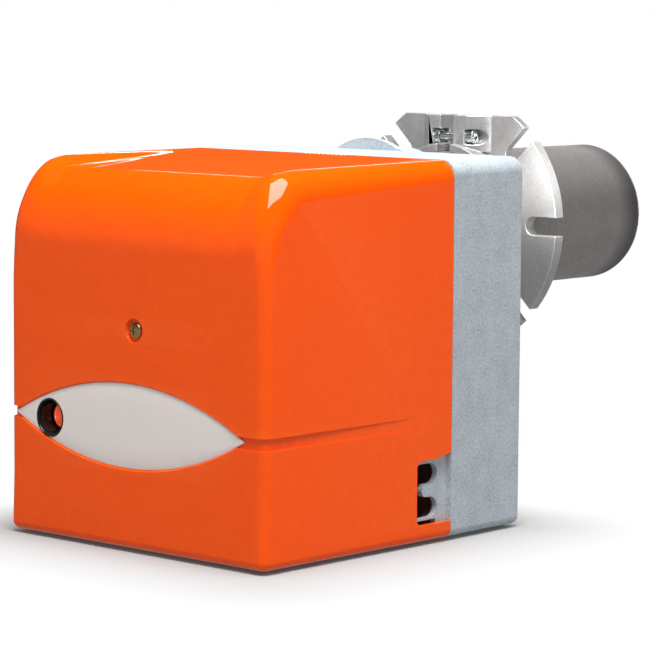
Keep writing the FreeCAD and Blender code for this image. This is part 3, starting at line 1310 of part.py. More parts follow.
def make_nozzle_line():
    """Line that carries the oil to the nozzle, its elbow, nozzle holder and nozzle."""
    line = Piece("nozzle_line")
    line.pad("XZ", -d.line_start, d.holder_start, Circle(0, d.axis_height, d.line_radius),
             Circle(0, d.axis_height, d.line_bore))
    elbow = Piece("line_elbow")
    front = -(d.line_start + d.elbow_length)
    elbow.pad("XZ", front, -d.line_start, Circle(0, d.axis_height, d.elbow_radius))
    port = (front + d.elbow_length / 2, d.axis_height)
    elbow.pad("YZ", 0, d.elbow_radius + d.union_length, Circle(*port, d.union_radius))
    elbow.cut("YZ", d.elbow_radius, d.elbow_radius + d.union_length + d.cut_over,
              Circle(*port, d.pipe_radius + d.clearance))
    holder = Piece("nozzle_holder")
    holder.pad("XZ", d.holder_start, nozzle_start, hexagon(0, d.axis_height, d.holder_radius))
    nozzle = Piece("oil_nozzle", 0, nozzle_start, d.axis_height, "Y")
    nozzle.turned((0, 0), (d.nozzle_radius, 0), (d.nozzle_radius, d.nozzle_length - d.nozzle_cone),
                  (d.nozzle_tip, d.nozzle_length), (0, d.nozzle_length))


def on_tube(label):
    """A piece centred on the blast tube's axis."""
    return Piece(label, 0, 0, d.axis_height)


def make_flame_disc():
    """Slotted flame disc and the three-legged carrier that holds it on the nozzle holder."""
    disc = on_tube("flame_disc")
    rear = d.disc_place + d.disc_thickness
    disc.pad("XZ", d.disc_place, rear, *ring(d.disc_radius, d.disc_eye))
    slot = disc.cut("XZ", d.disc_place - d.cut_over, rear + d.cut_over,
                    box(-d.disc_slot / 2, d.disc_slot_inner, d.disc_slot / 2, d.disc_slot_outer))
    disc.pattern(slot, "Y_Axis", DISC_SLOTS)
    carrier = on_tube("disc_carrier")
    inner = d.holder_radius + d.clearance
    outer = inner + d.carrier_wall
    half = d.leg_width / 2
    leg = carrier.pad("XZ", d.carrier_place, d.disc_place,
                      box(-half, outer - d.carrier_wall / 2, half, d.leg_outer))
    carrier.pattern(leg, "Y_Axis", THREE)
    carrier.pad("XZ", d.carrier_place, d.carrier_place + d.carrier_length, *ring(outer, inner))


def make_head_spider():
    """Spider that centres the nozzle line in the tube."""
    spider = on_tube("head_spider")
    inner = d.line_radius + d.clearance
    half = d.spider_arm / 2
    arm_end = root((air_hole - d.clearance) * (air_hole - d.clearance) - half * half)
    arm = spider.pad("XZ", d.spider_place, d.spider_place + d.spider_sheet,
                     box(-half, (inner + d.spider_hub) / 2, half, arm_end))
    spider.pattern(arm, "Y_Axis", THREE)
    spider.pad("XZ", d.spider_place, d.spider_place + d.spider_length, *ring(d.spider_hub, inner))


def make_electrodes():
    """Ignition electrodes, their ceramic insulators and the clamp that holds them on the line."""
    height = d.axis_height + d.electrode_rise
    sides = [-d.electrode_aside, d.electrode_aside]
    end = d.insulator_start + d.insulator_length
    spark = nozzle_start + d.nozzle_length + d.spark_reach
    paths = [[(side * d.electrode_aside, d.insulator_start - d.electrode_out, height),
              (side * d.electrode_aside, end + d.electrode_knee, height),
              (side * d.spark_aside, spark, d.axis_height + d.spark_rise)] for side in (-1, 1)]
    bent_wire("electrodes", paths, d.electrode_wire, d.electrode_bend)
    insulators = Piece("insulators")
    bore = d.electrode_wire + d.clearance
    for side in sides:
        insulators.pad("XZ", d.insulator_start, end, Circle(side, height, d.insulator_radius),
                       Circle(side, height, bore))
    clamp = Piece("electrode_clamp")
    clamp.pad("XZ", d.clamp_place, d.clamp_place + d.clamp_length,
              soft_box(-d.clamp_half, d.axis_height - d.clamp_drop, d.clamp_half,
                       d.axis_height + d.clamp_top, d.clamp_corner),
              Circle(0, d.axis_height, d.line_radius + d.clearance),
              *[Circle(side, height, d.insulator_radius + d.clearance) for side in sides])


def make_head_cover():
    """Cover round the nozzle line with its bush and lock screw, and the photocell plugged into it."""
    face = d.plate_front - d.cover_thickness
    front = face - d.bush_length
    cell = (d.cell_aside, d.axis_height + d.cell_rise)
    cover = Piece("head_cover")
    cover.pad("XZ", face, d.plate_front, Circle(0, d.axis_height, d.cover_radius))
    cover.pad("XZ", front, face, Circle(0, d.axis_height, d.bush_radius))
    cover.cut("XZ", front - d.cut_over, d.plate_front + d.cut_over,
              Circle(0, d.axis_height, d.line_radius + d.shaft_gap))
    cover.cut("XZ", face - d.cut_over, d.plate_front + d.cut_over, Circle(*cell, d.cell_radius + d.clearance),
              *holes(cover_screw_places))
    lock_depth = (front + face) / 2
    cover.cut("XY", d.axis_height, d.axis_height + d.bush_radius + d.cut_over,
              Circle(0, lock_depth, screw_hole))
    lock = Piece("lock_screw")
    seat = d.axis_height + d.line_radius + d.clearance
    lock.pad("XY", seat, seat + d.lock_length, Circle(0, lock_depth, d.screw_radius))
    lock.pad("XY", seat + d.lock_length, seat + d.lock_length + d.lock_head_length,
             Circle(0, lock_depth, d.lock_head))
    photocell = Piece("photocell")
    rim = face - d.cell_rim_thickness
    photocell.pad("XZ", rim - d.cell_front, face + d.cell_back, Circle(*cell, d.cell_radius))
    photocell.pad("XZ", rim, face, Circle(*cell, d.cell_rim))


# Electrical side: control box on its bracket, transformer and terminal socket

def make_control():
    """Bracket, base, control box and reset button."""
    left = d.base_left
    right = left + d.base_width
    low = d.base_low
    high = low + d.base_height
    metal = d.bracket_sheet
    floor = d.bracket_low
    back = -d.base_back
    tab_face = d.plate_front - metal
    bracket = Piece("control_bracket")
    bracket.pad("YZ", left, right,
                [(back, floor), (d.plate_front, floor), (d.plate_front, floor + d.bracket_tab),
                 (tab_face, floor + d.bracket_tab), (tab_face, floor + metal),
                 (back + metal, floor + metal), (back + metal, high), (back, high)])
    bracket.cut("XZ", tab_face - d.cut_over, d.plate_front + d.cut_over, *holes(bracket_screw_places))
    base = Piece("control_base")
    base_front = back - d.base_thickness
    base.pad("XZ", base_front, back, box(left, low, right, high))
    front = -control_front
    inset = d.control_inset
    edge = d.control_edge
    control = Piece("control_box")
    control.pad("XZ", front, base_front,
                soft_box(left + inset, low + inset, right - inset, high - inset, edge))
    control.round(edge / 2, at_level("Y", front))
    control.cut("XZ", front - d.cut_over, front + d.button_root + d.button_travel + d.clearance,
                Circle(-d.reset_aside, d.reset_height, d.button_radius + d.clearance))
    reset = Piece("reset_button")
    reset.pad("XZ", front - d.button_proud, front + d.button_root,
              Circle(-d.reset_aside, d.reset_height, d.button_radius))


def make_transformer():
    """Ignition transformer with fixing tabs and two high voltage sockets."""
    transformer = Piece("ignition_transformer")
    left = d.transformer_left
    right = left + d.transformer_width
    front = d.plate_front - d.transformer_depth
    transformer.pad("XZ", front, d.plate_front,
                    soft_box(left, d.transformer_low, right, transformer_top, d.transformer_edge))
    transformer.pad("XZ", rim_face, d.plate_front,
                    box(transformer_middle - d.tab_half, d.transformer_low - d.tab_reach,
                        transformer_middle + d.tab_half, transformer_top + d.tab_reach))
    middle = (d.transformer_low + transformer_top) / 2
    places = [(transformer_middle + side * d.bushing_pitch / 2, middle) for side in (-1, 1)]
    transformer.pad("XZ", front - d.bushing_length, front, *holes(places, d.bushing_radius),
                    *holes(places, d.bushing_bore))
    transformer.cut("XZ", rim_face - d.cut_over, d.plate_front + d.cut_over, *holes(tab_screw_places))


def make_terminal_socket():
    """Seven-way socket for the boiler's plug."""
    socket = Piece("terminal_socket")
    right = d.socket_left + d.socket_width
    front = d.plate_front - d.socket_depth
    high = d.socket_low + d.socket_height
    socket.pad("XZ", front, d.plate_front, soft_box(d.socket_left, d.socket_low, right, high, d.control_edge))
    middle = (d.socket_left + right) / 2
    level = (d.socket_low + high) / 2
    contacts = [Circle(middle + d.contact_pitch * (index - (CONTACTS - 1) / 2), level, d.contact_radius)
                for index in range(CONTACTS)]
    socket.cut("XZ", front - d.cut_over, front + d.contact_depth, *contacts)


def check_and_write():
    """Stop where anything failed, then write one STEP file for each sub-part."""
    doc.recompute()
    for thing in doc.Objects:
        if "Invalid" in thing.State or "Error" in thing.State:
            raise RuntimeError(thing.Label + " is not sound: " + str(thing.State))
    os.makedirs("parts", exist_ok=True)
    pieces = [thing for thing in doc.Objects if thing.TypeId in ("PartDesign::Body", "Part::Feature")
              and thing.Label != "hood_core"]
    for thing in pieces:
        if thing.Shape.isNull() or not thing.Shape.isValid():
            raise RuntimeError(thing.Label + " has no sound shape")
    for thing in pieces:
        thing.Shape.exportStep("parts/" + thing.Label + ".step")
    print(len(pieces), "sub-parts")


make_burner_body()
make_mounting_plate()
make_plate_screws()
make_blast_tube()
make_tube_screws()
make_boiler_flange()
make_clamp()
make_hood()
make_badge()
make_reset_collar()
make_hood_screw()
make_fan_scroll()
make_scroll_cover()
make_scroll_screws()
make_motor_housing()
make_motor_end_cap()
make_motor_inside()
make_motor_screws()
make_capacitor()
make_fan_wheel()
make_pump_drive()
make_air_box()
make_damper()
make_pump()
make_valve()
make_oil_pipe()
make_nozzle_line()
make_flame_disc()
make_head_spider()
make_electrodes()
make_head_cover()
make_control()
make_transformer()
make_terminal_socket()
check_and_write()
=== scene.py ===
"""Looks of a small oil burner: moulded hood, cast body, sliding flange and blast tube.

Lengths are in millimetres until a mesh is made. The camera, the lamps, the floor's glow and the
ends of the pipe's bend are in metres.
"""

import json
import logging
import math
from dataclasses import dataclass
from enum import Enum
from functools import cache
from typing import Callable, NamedTuple, Optional, Sequence

import bmesh
import bpy
from mathutils import Matrix, Vector

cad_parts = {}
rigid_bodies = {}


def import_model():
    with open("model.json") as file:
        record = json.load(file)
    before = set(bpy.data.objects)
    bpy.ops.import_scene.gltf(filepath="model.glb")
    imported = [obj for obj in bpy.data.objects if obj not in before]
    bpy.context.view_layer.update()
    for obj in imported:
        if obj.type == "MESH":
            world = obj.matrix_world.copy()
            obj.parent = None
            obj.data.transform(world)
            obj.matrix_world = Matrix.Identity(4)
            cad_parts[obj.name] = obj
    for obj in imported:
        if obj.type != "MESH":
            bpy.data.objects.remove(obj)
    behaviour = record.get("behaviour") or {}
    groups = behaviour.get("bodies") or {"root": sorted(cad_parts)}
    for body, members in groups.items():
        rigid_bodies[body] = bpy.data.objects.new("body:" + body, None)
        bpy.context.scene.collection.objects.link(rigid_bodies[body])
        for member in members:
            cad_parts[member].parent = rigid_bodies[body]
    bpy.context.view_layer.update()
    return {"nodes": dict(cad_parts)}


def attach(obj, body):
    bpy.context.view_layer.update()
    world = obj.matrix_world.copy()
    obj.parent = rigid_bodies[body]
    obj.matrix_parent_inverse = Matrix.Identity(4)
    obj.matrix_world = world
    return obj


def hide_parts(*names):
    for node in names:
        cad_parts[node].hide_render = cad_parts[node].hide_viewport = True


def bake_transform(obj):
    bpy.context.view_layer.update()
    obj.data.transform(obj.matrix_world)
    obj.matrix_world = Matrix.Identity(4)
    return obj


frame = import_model()

LOG = logging.getLogger("burner")
MM = 0.001
RIM = "rim"
WHITE = (1.0, 1.0, 1.0, 1.0)
ORIGIN = (0.0, 0.0, 0.0)
WELD = 0.004
NO_LENGTH = 1e-7
FLAT_WITHIN = 0.6
SHARP_PAST = 8.0
FACE_WEIGHT = 60
PATCH_SCALE = 0.11
WEAR_AND_HIGHLIGHT_CLOUD = (0.3, 0.62, 0.25, 1.0)
DUST_CLOUD = (0.35, 0.7, 0.3, 1.0)
DUST_FACING = (0.3, 1.0, 0.0, 1.0)

Point = tuple[float, float, float]
Flat = tuple[float, float]
Colour = tuple[float, float, float]
Rows = tuple[tuple[str, str, float], ...]
Socket = bpy.types.NodeSocket
Sockets = bpy.types.bpy_prop_collection
Piece = bpy.types.Object


class Grain(Enum):
    """The ways in which a surface is broken up, with the stretch of the pattern along each axis."""

    PLAIN = (1.0, 1.0, 1.0)
    BRUSHED = (0.04, 1.0, 1.0)
    TURNED = (0.03, 1.0, 0.03)
    LAMINATED = (1.0, 0.01, 0.01)


# Shader nodes


class Tree:
    """Short ways to place and join nodes in one node tree."""

    def __init__(self, tree: bpy.types.NodeTree) -> None:
        """Keeps the tree that the other methods work on."""
        self.tree = tree

    def put(self, kind: str, settings: Optional[dict] = None, **inputs: object) -> bpy.types.Node:
        """Adds one node.

        Args:
            kind: Node type as Blender names it.
            settings: Node properties, such as its operation.
            inputs: Values or sockets for its inputs, i0 for the first, or by name with
                underscores for spaces.

        Returns:
            The new node.
        """
        node = self.tree.nodes.new(kind)
        for key, value in (settings or {}).items():
            setattr(node, key, value)
        for key, value in inputs.items():
            by_number = key[0] == "i" and key[1:].isdigit()
            socket = node.inputs[int(key[1:]) if by_number else key.replace("_", " ")]
            if isinstance(value, Socket):
                self.link(value, socket)
            else:
                socket.default_value = value
        return node

    def link(self, source: Socket, target: Socket) -> None:
        """Joins an output to an input."""
        self.tree.links.new(source, target)

    def maths(self, operation: str, first: object, second: object, clamp: bool = False) -> Socket:
        """Result of one Math node, kept from 0 to 1 if clamp says so."""
        settings = {"operation": operation, "use_clamp": clamp}
        return self.put("ShaderNodeMath", settings, i0=first, i1=second).outputs[0]

    def vector(self, operation: str, first: Socket, second: object = ORIGIN) -> Sockets:
        """Outputs of one Vector Math node."""
        return self.put("ShaderNodeVectorMath", {"operation": operation}, i0=first,
                        i1=second).outputs

    def spread(self, value: Socket, low: float, high: float, to_low: float,
               to_high: float) -> Socket:
        """Value mapped from one range to another and kept there."""
        return self.put("ShaderNodeMapRange", {"clamp": True}, i0=value, i1=low, i2=high, i3=to_low,
                        i4=to_high).outputs[0]

    def mix(self, share: object, first: object, second: object) -> Socket:
        """Mix of two colours."""
        return self.put("ShaderNodeMix", {"data_type": "RGBA"}, i0=share, i6=first,
                        i7=second).outputs[2]

    def noise(self, place: Socket, scale: Socket, detail: float, rough: float) -> Socket:
        """Noise at a place."""
        return self.put("ShaderNodeTexNoise", Vector=place, Scale=scale, Detail=detail,
                        Roughness=rough).outputs[0]

    def group(self, group: bpy.types.NodeTree, **inputs: object) -> Sockets:
        """Outputs of one placed node group."""
        return self.put("ShaderNodeGroup", {"node_tree": group}, **inputs).outputs

    def white(self, kind: str, strength: object) -> Socket:
        """White Emission or Background shader of a strength."""
        return self.put("ShaderNode" + kind, Color=WHITE, Strength=strength).outputs[0]

    def either(self, share: Socket, first: Socket, second: Socket) -> Socket:
        """Mix of two shaders."""
        return self.put("ShaderNodeMixShader", i0=share, i1=first, i2=second).outputs[0]


def empty_tree(owner: bpy.types.Material | bpy.types.World) -> Tree:
    """Clears the nodes of a material or of the world.

    Args:
        owner: Material or world.

    Returns:
        Its empty tree.
    """
    owner.use_nodes = True
    owner.node_tree.nodes.clear()
    return Tree(owner.node_tree)


def open_group(name: str, inputs: dict[str, object],
               *outputs: str) -> tuple[Tree, Sockets, Sockets]:
    """Opens a shader node group with its sockets.

    Args:
        name: Group name.
        inputs: Default value of each input, three numbers for a vector.
        outputs: Name of each output, which is one number.

    Returns:
        The tree helper, the sockets that give the inputs and those that take the outputs.
    """
    group = bpy.data.node_groups.new(name, "ShaderNodeTree")
    for label, value in inputs.items():
        kind = "NodeSocketVector" if isinstance(value, tuple) else "NodeSocketFloat"
        socket = group.interface.new_socket(label, in_out="INPUT", socket_type=kind)
        socket.default_value = value
    for label in outputs:
        group.interface.new_socket(label, in_out="OUTPUT", socket_type="NodeSocketFloat")
    tree = Tree(group)
    return tree, tree.put("NodeGroupInput").outputs, tree.put("NodeGroupOutput").inputs


@cache
def surface_grain() -> bpy.types.NodeTree:
    """Group for the fine break-up of a surface: a tone round one half, and a height for the bump.

    Returns:
        The group's tree.
    """
    tree, given, out = open_group(
        "surface_grain", {"Place": ORIGIN, "Stretch": Grain.PLAIN.value, "Scale": 500.0,
                          "Patches": 0.3}, "Tone", "Height")
    stretched = tree.vector("MULTIPLY", given["Place"], given["Stretch"])[0]
    fine = tree.noise(stretched, given["Scale"], detail=3.0, rough=0.65)
    wider = tree.maths("MULTIPLY", given["Scale"], PATCH_SCALE)
    coarse = tree.noise(given["Place"], wider, detail=4.0, rough=0.55)
    lift = tree.maths("MULTIPLY", tree.maths("SUBTRACT", coarse, 0.5), given["Patches"])
    tree.link(tree.maths("ADD", fine, lift, clamp=True), out["Tone"])
    tree.link(fine, out["Height"])
    return tree.tree


@cache
def edge_wear() -> bpy.types.NodeTree:
    """Group for light rims: wear that handling rubs bright, and painted highlight along sharp
    edges.

    Returns:
        The group's tree.
    """
    tree, given, out = open_group(
        "edge_wear", {"Place": ORIGIN, "Rim": 0.0, "Amount": 0.5, "Scale": 160.0}, "Mask")
    cloud = tree.noise(given["Place"], given["Scale"], detail=5.0, rough=0.7)
    # Light on sharp rims: partly rubbed wear, partly painted highlight along the edges.
    rubbed_and_lit = tree.maths("MULTIPLY", given["Rim"], tree.spread(cloud, *WEAR_AND_HIGHLIGHT_CLOUD))
    tree.link(tree.maths("MULTIPLY", rubbed_and_lit, given["Amount"], clamp=True), out["Mask"])
    return tree.tree


@cache
def settled_dust() -> bpy.types.NodeTree:
    """Group for the thin dust that settles on what faces up.

    Returns:
        The group's tree.
    """
    tree, given, out = open_group(
        "settled_dust", {"Place": ORIGIN, "Facing": ORIGIN, "Amount": 0.2, "Scale": 60.0}, "Mask")
    up = tree.put("ShaderNodeSeparateXYZ", i0=given["Facing"]).outputs[2]
    cloud = tree.noise(given["Place"], given["Scale"], detail=6.0, rough=0.6)
    settled = tree.maths("MULTIPLY", tree.spread(up, *DUST_FACING),
                         tree.spread(cloud, *DUST_CLOUD))
    tree.link(tree.maths("MULTIPLY", settled, given["Amount"], clamp=True), out["Mask"])
    return tree.tree


# Finishes


@dataclass(frozen=True)
class Finish:
    """One finish of the burner, named as the record's material slot or as a look within one.

    The scale is that of a pattern over metres, and the relief's depth is in metres.
    """

    slot: str
    dark: Colour
    light: Colour
    rough: float
    metal: float = 0.0
    grain: Grain = Grain.PLAIN
    scale: float = 500.0
    patches: float = 0.3
    contrast: float = 1.0
    rough_swing: float = 0.1
    relief: float = 0.15
    relief_depth: float = 0.0002
    specular: float = 0.5
    coat: float = 0.0
    coat_rough: float = 0.05
    # Amount and colour of lighter rims: rubbed wear together with painted highlight along the
    # edges.
    wear_and_highlight: float = 0.0
    wear_and_highlight_colour: Colour = (0.7, 0.7, 0.7)
    dust: float = 0.03
    tint_end: Optional[Colour] = None
    tint_from: float = 0.0
    tint_to: float = 1.0

    TONE_HALF = 0.25
    DUST_COLOUR = (0.42, 0.40, 0.37, 1.0)
    DUST_ROUGH = 0.35

    def build(self) -> bpy.types.Material:
        """Makes the material.

        Returns:
            The material with all its nodes.
        """
        material = bpy.data.materials.new("finish_" + self.slot)
        tree = empty_tree(material)
        out = tree.put("ShaderNodeOutputMaterial").inputs
        shader = tree.put("ShaderNodeBsdfPrincipled", Metallic=self.metal,
                          Specular_IOR_Level=self.specular, Coat_Weight=self.coat,
                          Coat_Roughness=self.coat_rough)
        tree.link(shader.outputs[0], out[0])
        place = tree.put("ShaderNodeTexCoord").outputs["Object"]
        facing = tree.put("ShaderNodeNewGeometry").outputs["Normal"]
        rim = tree.put("ShaderNodeAttribute", {"attribute_name": RIM}).outputs["Fac"]
        grain = tree.group(surface_grain(), Place=place, Stretch=self.grain.value,
                           Scale=self.scale, Patches=self.patches)
        half = self.TONE_HALF / self.contrast
        tone = tree.spread(grain["Tone"], 0.5 - half, 0.5 + half, 0.0, 1.0)
        colour = tree.mix(tone, self.dark + (1.0,), self.light + (1.0,))
        if self.tint_end is not None:
            along = tree.put("ShaderNodeSeparateXYZ", i0=place).outputs[1]
            share = tree.spread(along, self.tint_from * MM, self.tint_to * MM, 0.0, 1.0)
            colour = tree.mix(share, colour, self.tint_end + (1.0,))
        swing = self.rough_swing / 2
        rough = tree.spread(tone, 0.0, 1.0, self.rough + swing, self.rough - swing)
        # Rims mixed towards a lighter colour: rubbed wear and painted edge highlight.
        if self.wear_and_highlight:
            rubbed_and_lit = tree.group(edge_wear(), Place=place, Rim=rim, Amount=self.wear_and_highlight)["Mask"]
            colour = tree.mix(rubbed_and_lit, colour, self.wear_and_highlight_colour + (1.0,))
        if self.dust:
            settled = tree.group(settled_dust(), Place=place, Facing=facing,
                                 Amount=self.dust)["Mask"]
            colour = tree.mix(settled, colour, self.DUST_COLOUR)
            rougher = tree.maths("MULTIPLY", settled, self.DUST_ROUGH)
            rough = tree.maths("ADD", rough, rougher, clamp=True)
        tree.link(colour, shader.inputs["Base Color"])
        tree.link(rough, shader.inputs["Roughness"])
        bump = tree.put("ShaderNodeBump", Strength=self.relief, Distance=self.relief_depth,
                        Height=grain["Height"])
        tree.link(bump.outputs[0], shader.inputs["Normal"])
        return material


# The lighter rims of the casting, the flange and the hood are painted highlight as well as wear.
FINISHES = (
    Finish("hood_plastic", (0.77, 0.069, 0.001), (0.84, 0.083, 0.002), 0.42, scale=900.0,
           patches=0.5, rough_swing=0.04, relief=0.015, relief_depth=0.00005, specular=0.0,
           coat=0.55, coat_rough=0.02, wear_and_highlight=0.10, wear_and_highlight_colour=(0.95, 0.22, 0.06), dust=0.0),
    Finish("casting", (0.302, 0.346, 0.383), (0.512, 0.556, 0.600), 0.62, metal=0.20,
           specular=0.2, scale=620.0, patches=0.35, contrast=1.3, rough_swing=0.25, relief=0.35,
           relief_depth=0.0003, wear_and_highlight=0.5, wear_and_highlight_colour=(0.66, 0.70, 0.73), dust=0.12),
    Finish("plate_steel", (0.50, 0.51, 0.52), (0.66, 0.67, 0.68), 0.33, metal=0.95,
           grain=Grain.BRUSHED, scale=700.0, rough_swing=0.15, relief=0.06, wear_and_highlight=0.4,
           wear_and_highlight_colour=(0.8, 0.8, 0.8), dust=0.08),
    Finish("zinc_screws", (0.50, 0.54, 0.58), (0.74, 0.76, 0.76), 0.26, metal=1.0, scale=900.0,
           rough_swing=0.14, relief=0.08, wear_and_highlight=0.5, wear_and_highlight_colour=(0.85, 0.86, 0.86)),
    Finish("yellow_zinc", (0.30, 0.19, 0.07), (0.52, 0.36, 0.16), 0.30, metal=1.0, scale=900.0,
           rough_swing=0.14, relief=0.08, wear_and_highlight=0.5, wear_and_highlight_colour=(0.80, 0.62, 0.34)),
    Finish("tube_steel", (0.275, 0.261, 0.255), (0.365, 0.349, 0.341), 0.50, metal=0.75,
           scale=520.0, patches=0.5, relief=0.10, wear_and_highlight=0.5, wear_and_highlight_colour=(0.45, 0.47, 0.50),
           dust=0.10, tint_end=(0.13, 0.12, 0.12), tint_from=220.0, tint_to=238.0),
    Finish("flange_casting", (0.30, 0.295, 0.29), (0.44, 0.43, 0.42), 0.38, metal=0.60,
           scale=760.0, patches=0.5, contrast=0.9, rough_swing=0.2, relief=0.22,
           relief_depth=0.00025, wear_and_highlight=0.7, wear_and_highlight_colour=(0.85, 0.85, 0.85), dust=0.08),
    Finish("badge_plate", (0.74, 0.675, 0.640), (0.79, 0.725, 0.690), 0.34, metal=0.25,
           scale=1400.0, patches=0.2, rough_swing=0.08, relief=0.05, relief_depth=0.00008,
           wear_and_highlight=0.4, wear_and_highlight_colour=(0.85, 0.84, 0.82)),
    Finish("collar_plastic", (0.006, 0.006, 0.006), (0.012, 0.011, 0.011), 0.10, scale=900.0,
           rough_swing=0.05, relief=0.03, specular=0.2, coat=0.25),
    Finish("reset_red", (0.95, 0.07, 0.02), (1.0, 0.16, 0.05), 0.12, rough_swing=0.04,
           relief=0.03, coat=1.0, dust=0.0),
    Finish("bare_aluminium", (0.46, 0.47, 0.48), (0.62, 0.63, 0.64), 0.46, metal=0.85,
           scale=650.0, patches=0.5, rough_swing=0.2, relief=0.22, relief_depth=0.00025,
           wear_and_highlight=0.6, wear_and_highlight_colour=(0.82, 0.82, 0.82), dust=0.10),
    Finish("stator_iron", (0.10, 0.10, 0.105), (0.20, 0.20, 0.205), 0.48, metal=0.8,
           grain=Grain.LAMINATED, scale=1500.0, contrast=1.6, rough_swing=0.2, relief=0.4,
           wear_and_highlight=0.3),
    Finish("copper", (0.56, 0.24, 0.12), (0.76, 0.38, 0.22), 0.28, metal=1.0, scale=300.0,
           patches=0.8, rough_swing=0.15, relief=0.06, wear_and_highlight=0.3, wear_and_highlight_colour=(0.9, 0.55, 0.38)),
    Finish("bearing_steel", (0.54, 0.55, 0.56), (0.70, 0.71, 0.72), 0.20, metal=1.0,
           grain=Grain.TURNED, scale=900.0, rough_swing=0.12, relief=0.05, wear_and_highlight=0.4,
           wear_and_highlight_colour=(0.85, 0.85, 0.86)),
    Finish("pale_plastic", (0.58, 0.55, 0.48), (0.66, 0.63, 0.56), 0.45, scale=800.0,
           relief=0.06, dust=0.08),
    Finish("black_plastic", (0.018, 0.018, 0.020), (0.036, 0.036, 0.038), 0.42, scale=1100.0,
           rough_swing=0.12, relief=0.12, wear_and_highlight=0.4, wear_and_highlight_colour=(0.09, 0.09, 0.09), dust=0.08),
    Finish("pump_alloy", (0.30, 0.31, 0.32), (0.45, 0.46, 0.47), 0.50, metal=0.7, scale=560.0,
           patches=0.6, contrast=1.2, rough_swing=0.2, relief=0.3, relief_depth=0.0003,
           wear_and_highlight=0.6, dust=0.10),
    Finish("brass", (0.60, 0.42, 0.16), (0.76, 0.58, 0.28), 0.26, metal=1.0, grain=Grain.TURNED,
           scale=800.0, rough_swing=0.12, relief=0.05, wear_and_highlight=0.4, wear_and_highlight_colour=(0.9, 0.76, 0.45)),
    Finish("control_plastic", (0.060, 0.064, 0.070), (0.092, 0.096, 0.104), 0.40,
           scale=1000.0, relief=0.10, wear_and_highlight=0.3, wear_and_highlight_colour=(0.2, 0.2, 0.21), dust=0.08),
    Finish("transformer_shell", (0.070, 0.076, 0.082), (0.110, 0.116, 0.124), 0.36, metal=0.1,
           scale=700.0, patches=0.6, rough_swing=0.12, relief=0.12, coat=0.2, wear_and_highlight=0.5,
           wear_and_highlight_colour=(0.4, 0.41, 0.42), dust=0.10),
    Finish("fan_steel", (0.48, 0.50, 0.52), (0.68, 0.70, 0.72), 0.32, metal=0.95, scale=90.0,
           patches=0.9, contrast=1.4, rough_swing=0.2, relief=0.04, wear_and_highlight=0.3,
           wear_and_highlight_colour=(0.8, 0.8, 0.8), dust=0.05),
    Finish("ceramic", (0.74, 0.72, 0.66), (0.82, 0.80, 0.75), 0.16, scale=400.0,
           rough_swing=0.06, relief=0.03, coat=0.8, dust=0.02),
)


@cache
def material_of(slot: str) -> bpy.types.Material:
    """Material of a finish, made when it is first asked for."""
    return next(finish for finish in FINISHES if finish.slot == slot).build()


# Mesh tools


def show(name: str, data: bpy.types.ID) -> Piece:
    """Puts an object into the scene.

    Args:
        name: Object name.
        data: Its mesh, lamp or camera.

    Returns:
        The object.
    """
    made = bpy.data.objects.new(name, data)
    bpy.context.scene.collection.objects.link(made)
    return made


def mesh_object(name: str, points: Sequence[Point], faces: Sequence[Sequence[int]],
                merge: float = 0.0005) -> Piece:
    """Makes an object of points in millimetres.

    Args:
        name: Object name.
        points: Points in millimetres.
        faces: Faces as point numbers.
        merge: Distance in millimetres within which points become one.

    Returns:
        The object, with its faces pointing out.
    """
    mesh = bpy.data.meshes.new(name)
    mesh.from_pydata([[value * MM for value in point] for point in points], [], faces)
    made = show(name, mesh)
    shape = bmesh.new()
    shape.from_mesh(mesh)
    bmesh.ops.remove_doubles(shape, verts=shape.verts, dist=merge * MM)
    bmesh.ops.dissolve_degenerate(shape, edges=shape.edges, dist=NO_LENGTH)
    bmesh.ops.recalc_face_normals(shape, faces=shape.faces)
    shape.to_mesh(mesh)
    shape.free()
    return made


def copy_of(node: str, name: str, flatten: bool = True) -> Piece:
    """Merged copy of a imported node.

    Args:
        node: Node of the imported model.
        name: Name of the copy.
        flatten: Whether flat areas become single faces.

    Returns:
        The copy.
    """
    made = show(name, frame["nodes"][node].data.copy())
    shape = bmesh.new()
    shape.from_mesh(made.data)
    bmesh.ops.remove_doubles(shape, verts=shape.verts, dist=WELD * MM)
    if flatten:
        bmesh.ops.dissolve_limit(shape, angle_limit=math.radians(FLAT_WITHIN),
                                 verts=shape.verts, edges=shape.edges)
    shape.to_mesh(made.data)
    shape.free()
    return made


def settle(made: Piece) -> Piece:
    """Turns an object's modifiers into its mesh.

    Args:
        made: Object with modifiers.

    Returns:
        The same object with a plain mesh.
    """
    bpy.context.view_layer.update()
    result = made.evaluated_get(bpy.context.evaluated_depsgraph_get())
    mesh = bpy.data.meshes.new_from_object(result)
    old = made.data
    made.modifiers.clear()
    made.data = mesh
    mesh.name = made.name
    bpy.data.meshes.remove(old)
    return made


def combine(body: Piece, tool: Piece, operation: str = "DIFFERENCE") -> None:
    """Cuts a tool from a body or adds it, and removes the tool.

    Args:
        body: Object that stays.
        tool: Closed object that is used up.
        operation: Boolean operation.
    """
    change = body.modifiers.new("combine", "BOOLEAN")
    change.operation, change.solver, change.object = operation, "EXACT", tool
    settle(body)
    bpy.data.objects.remove(tool)


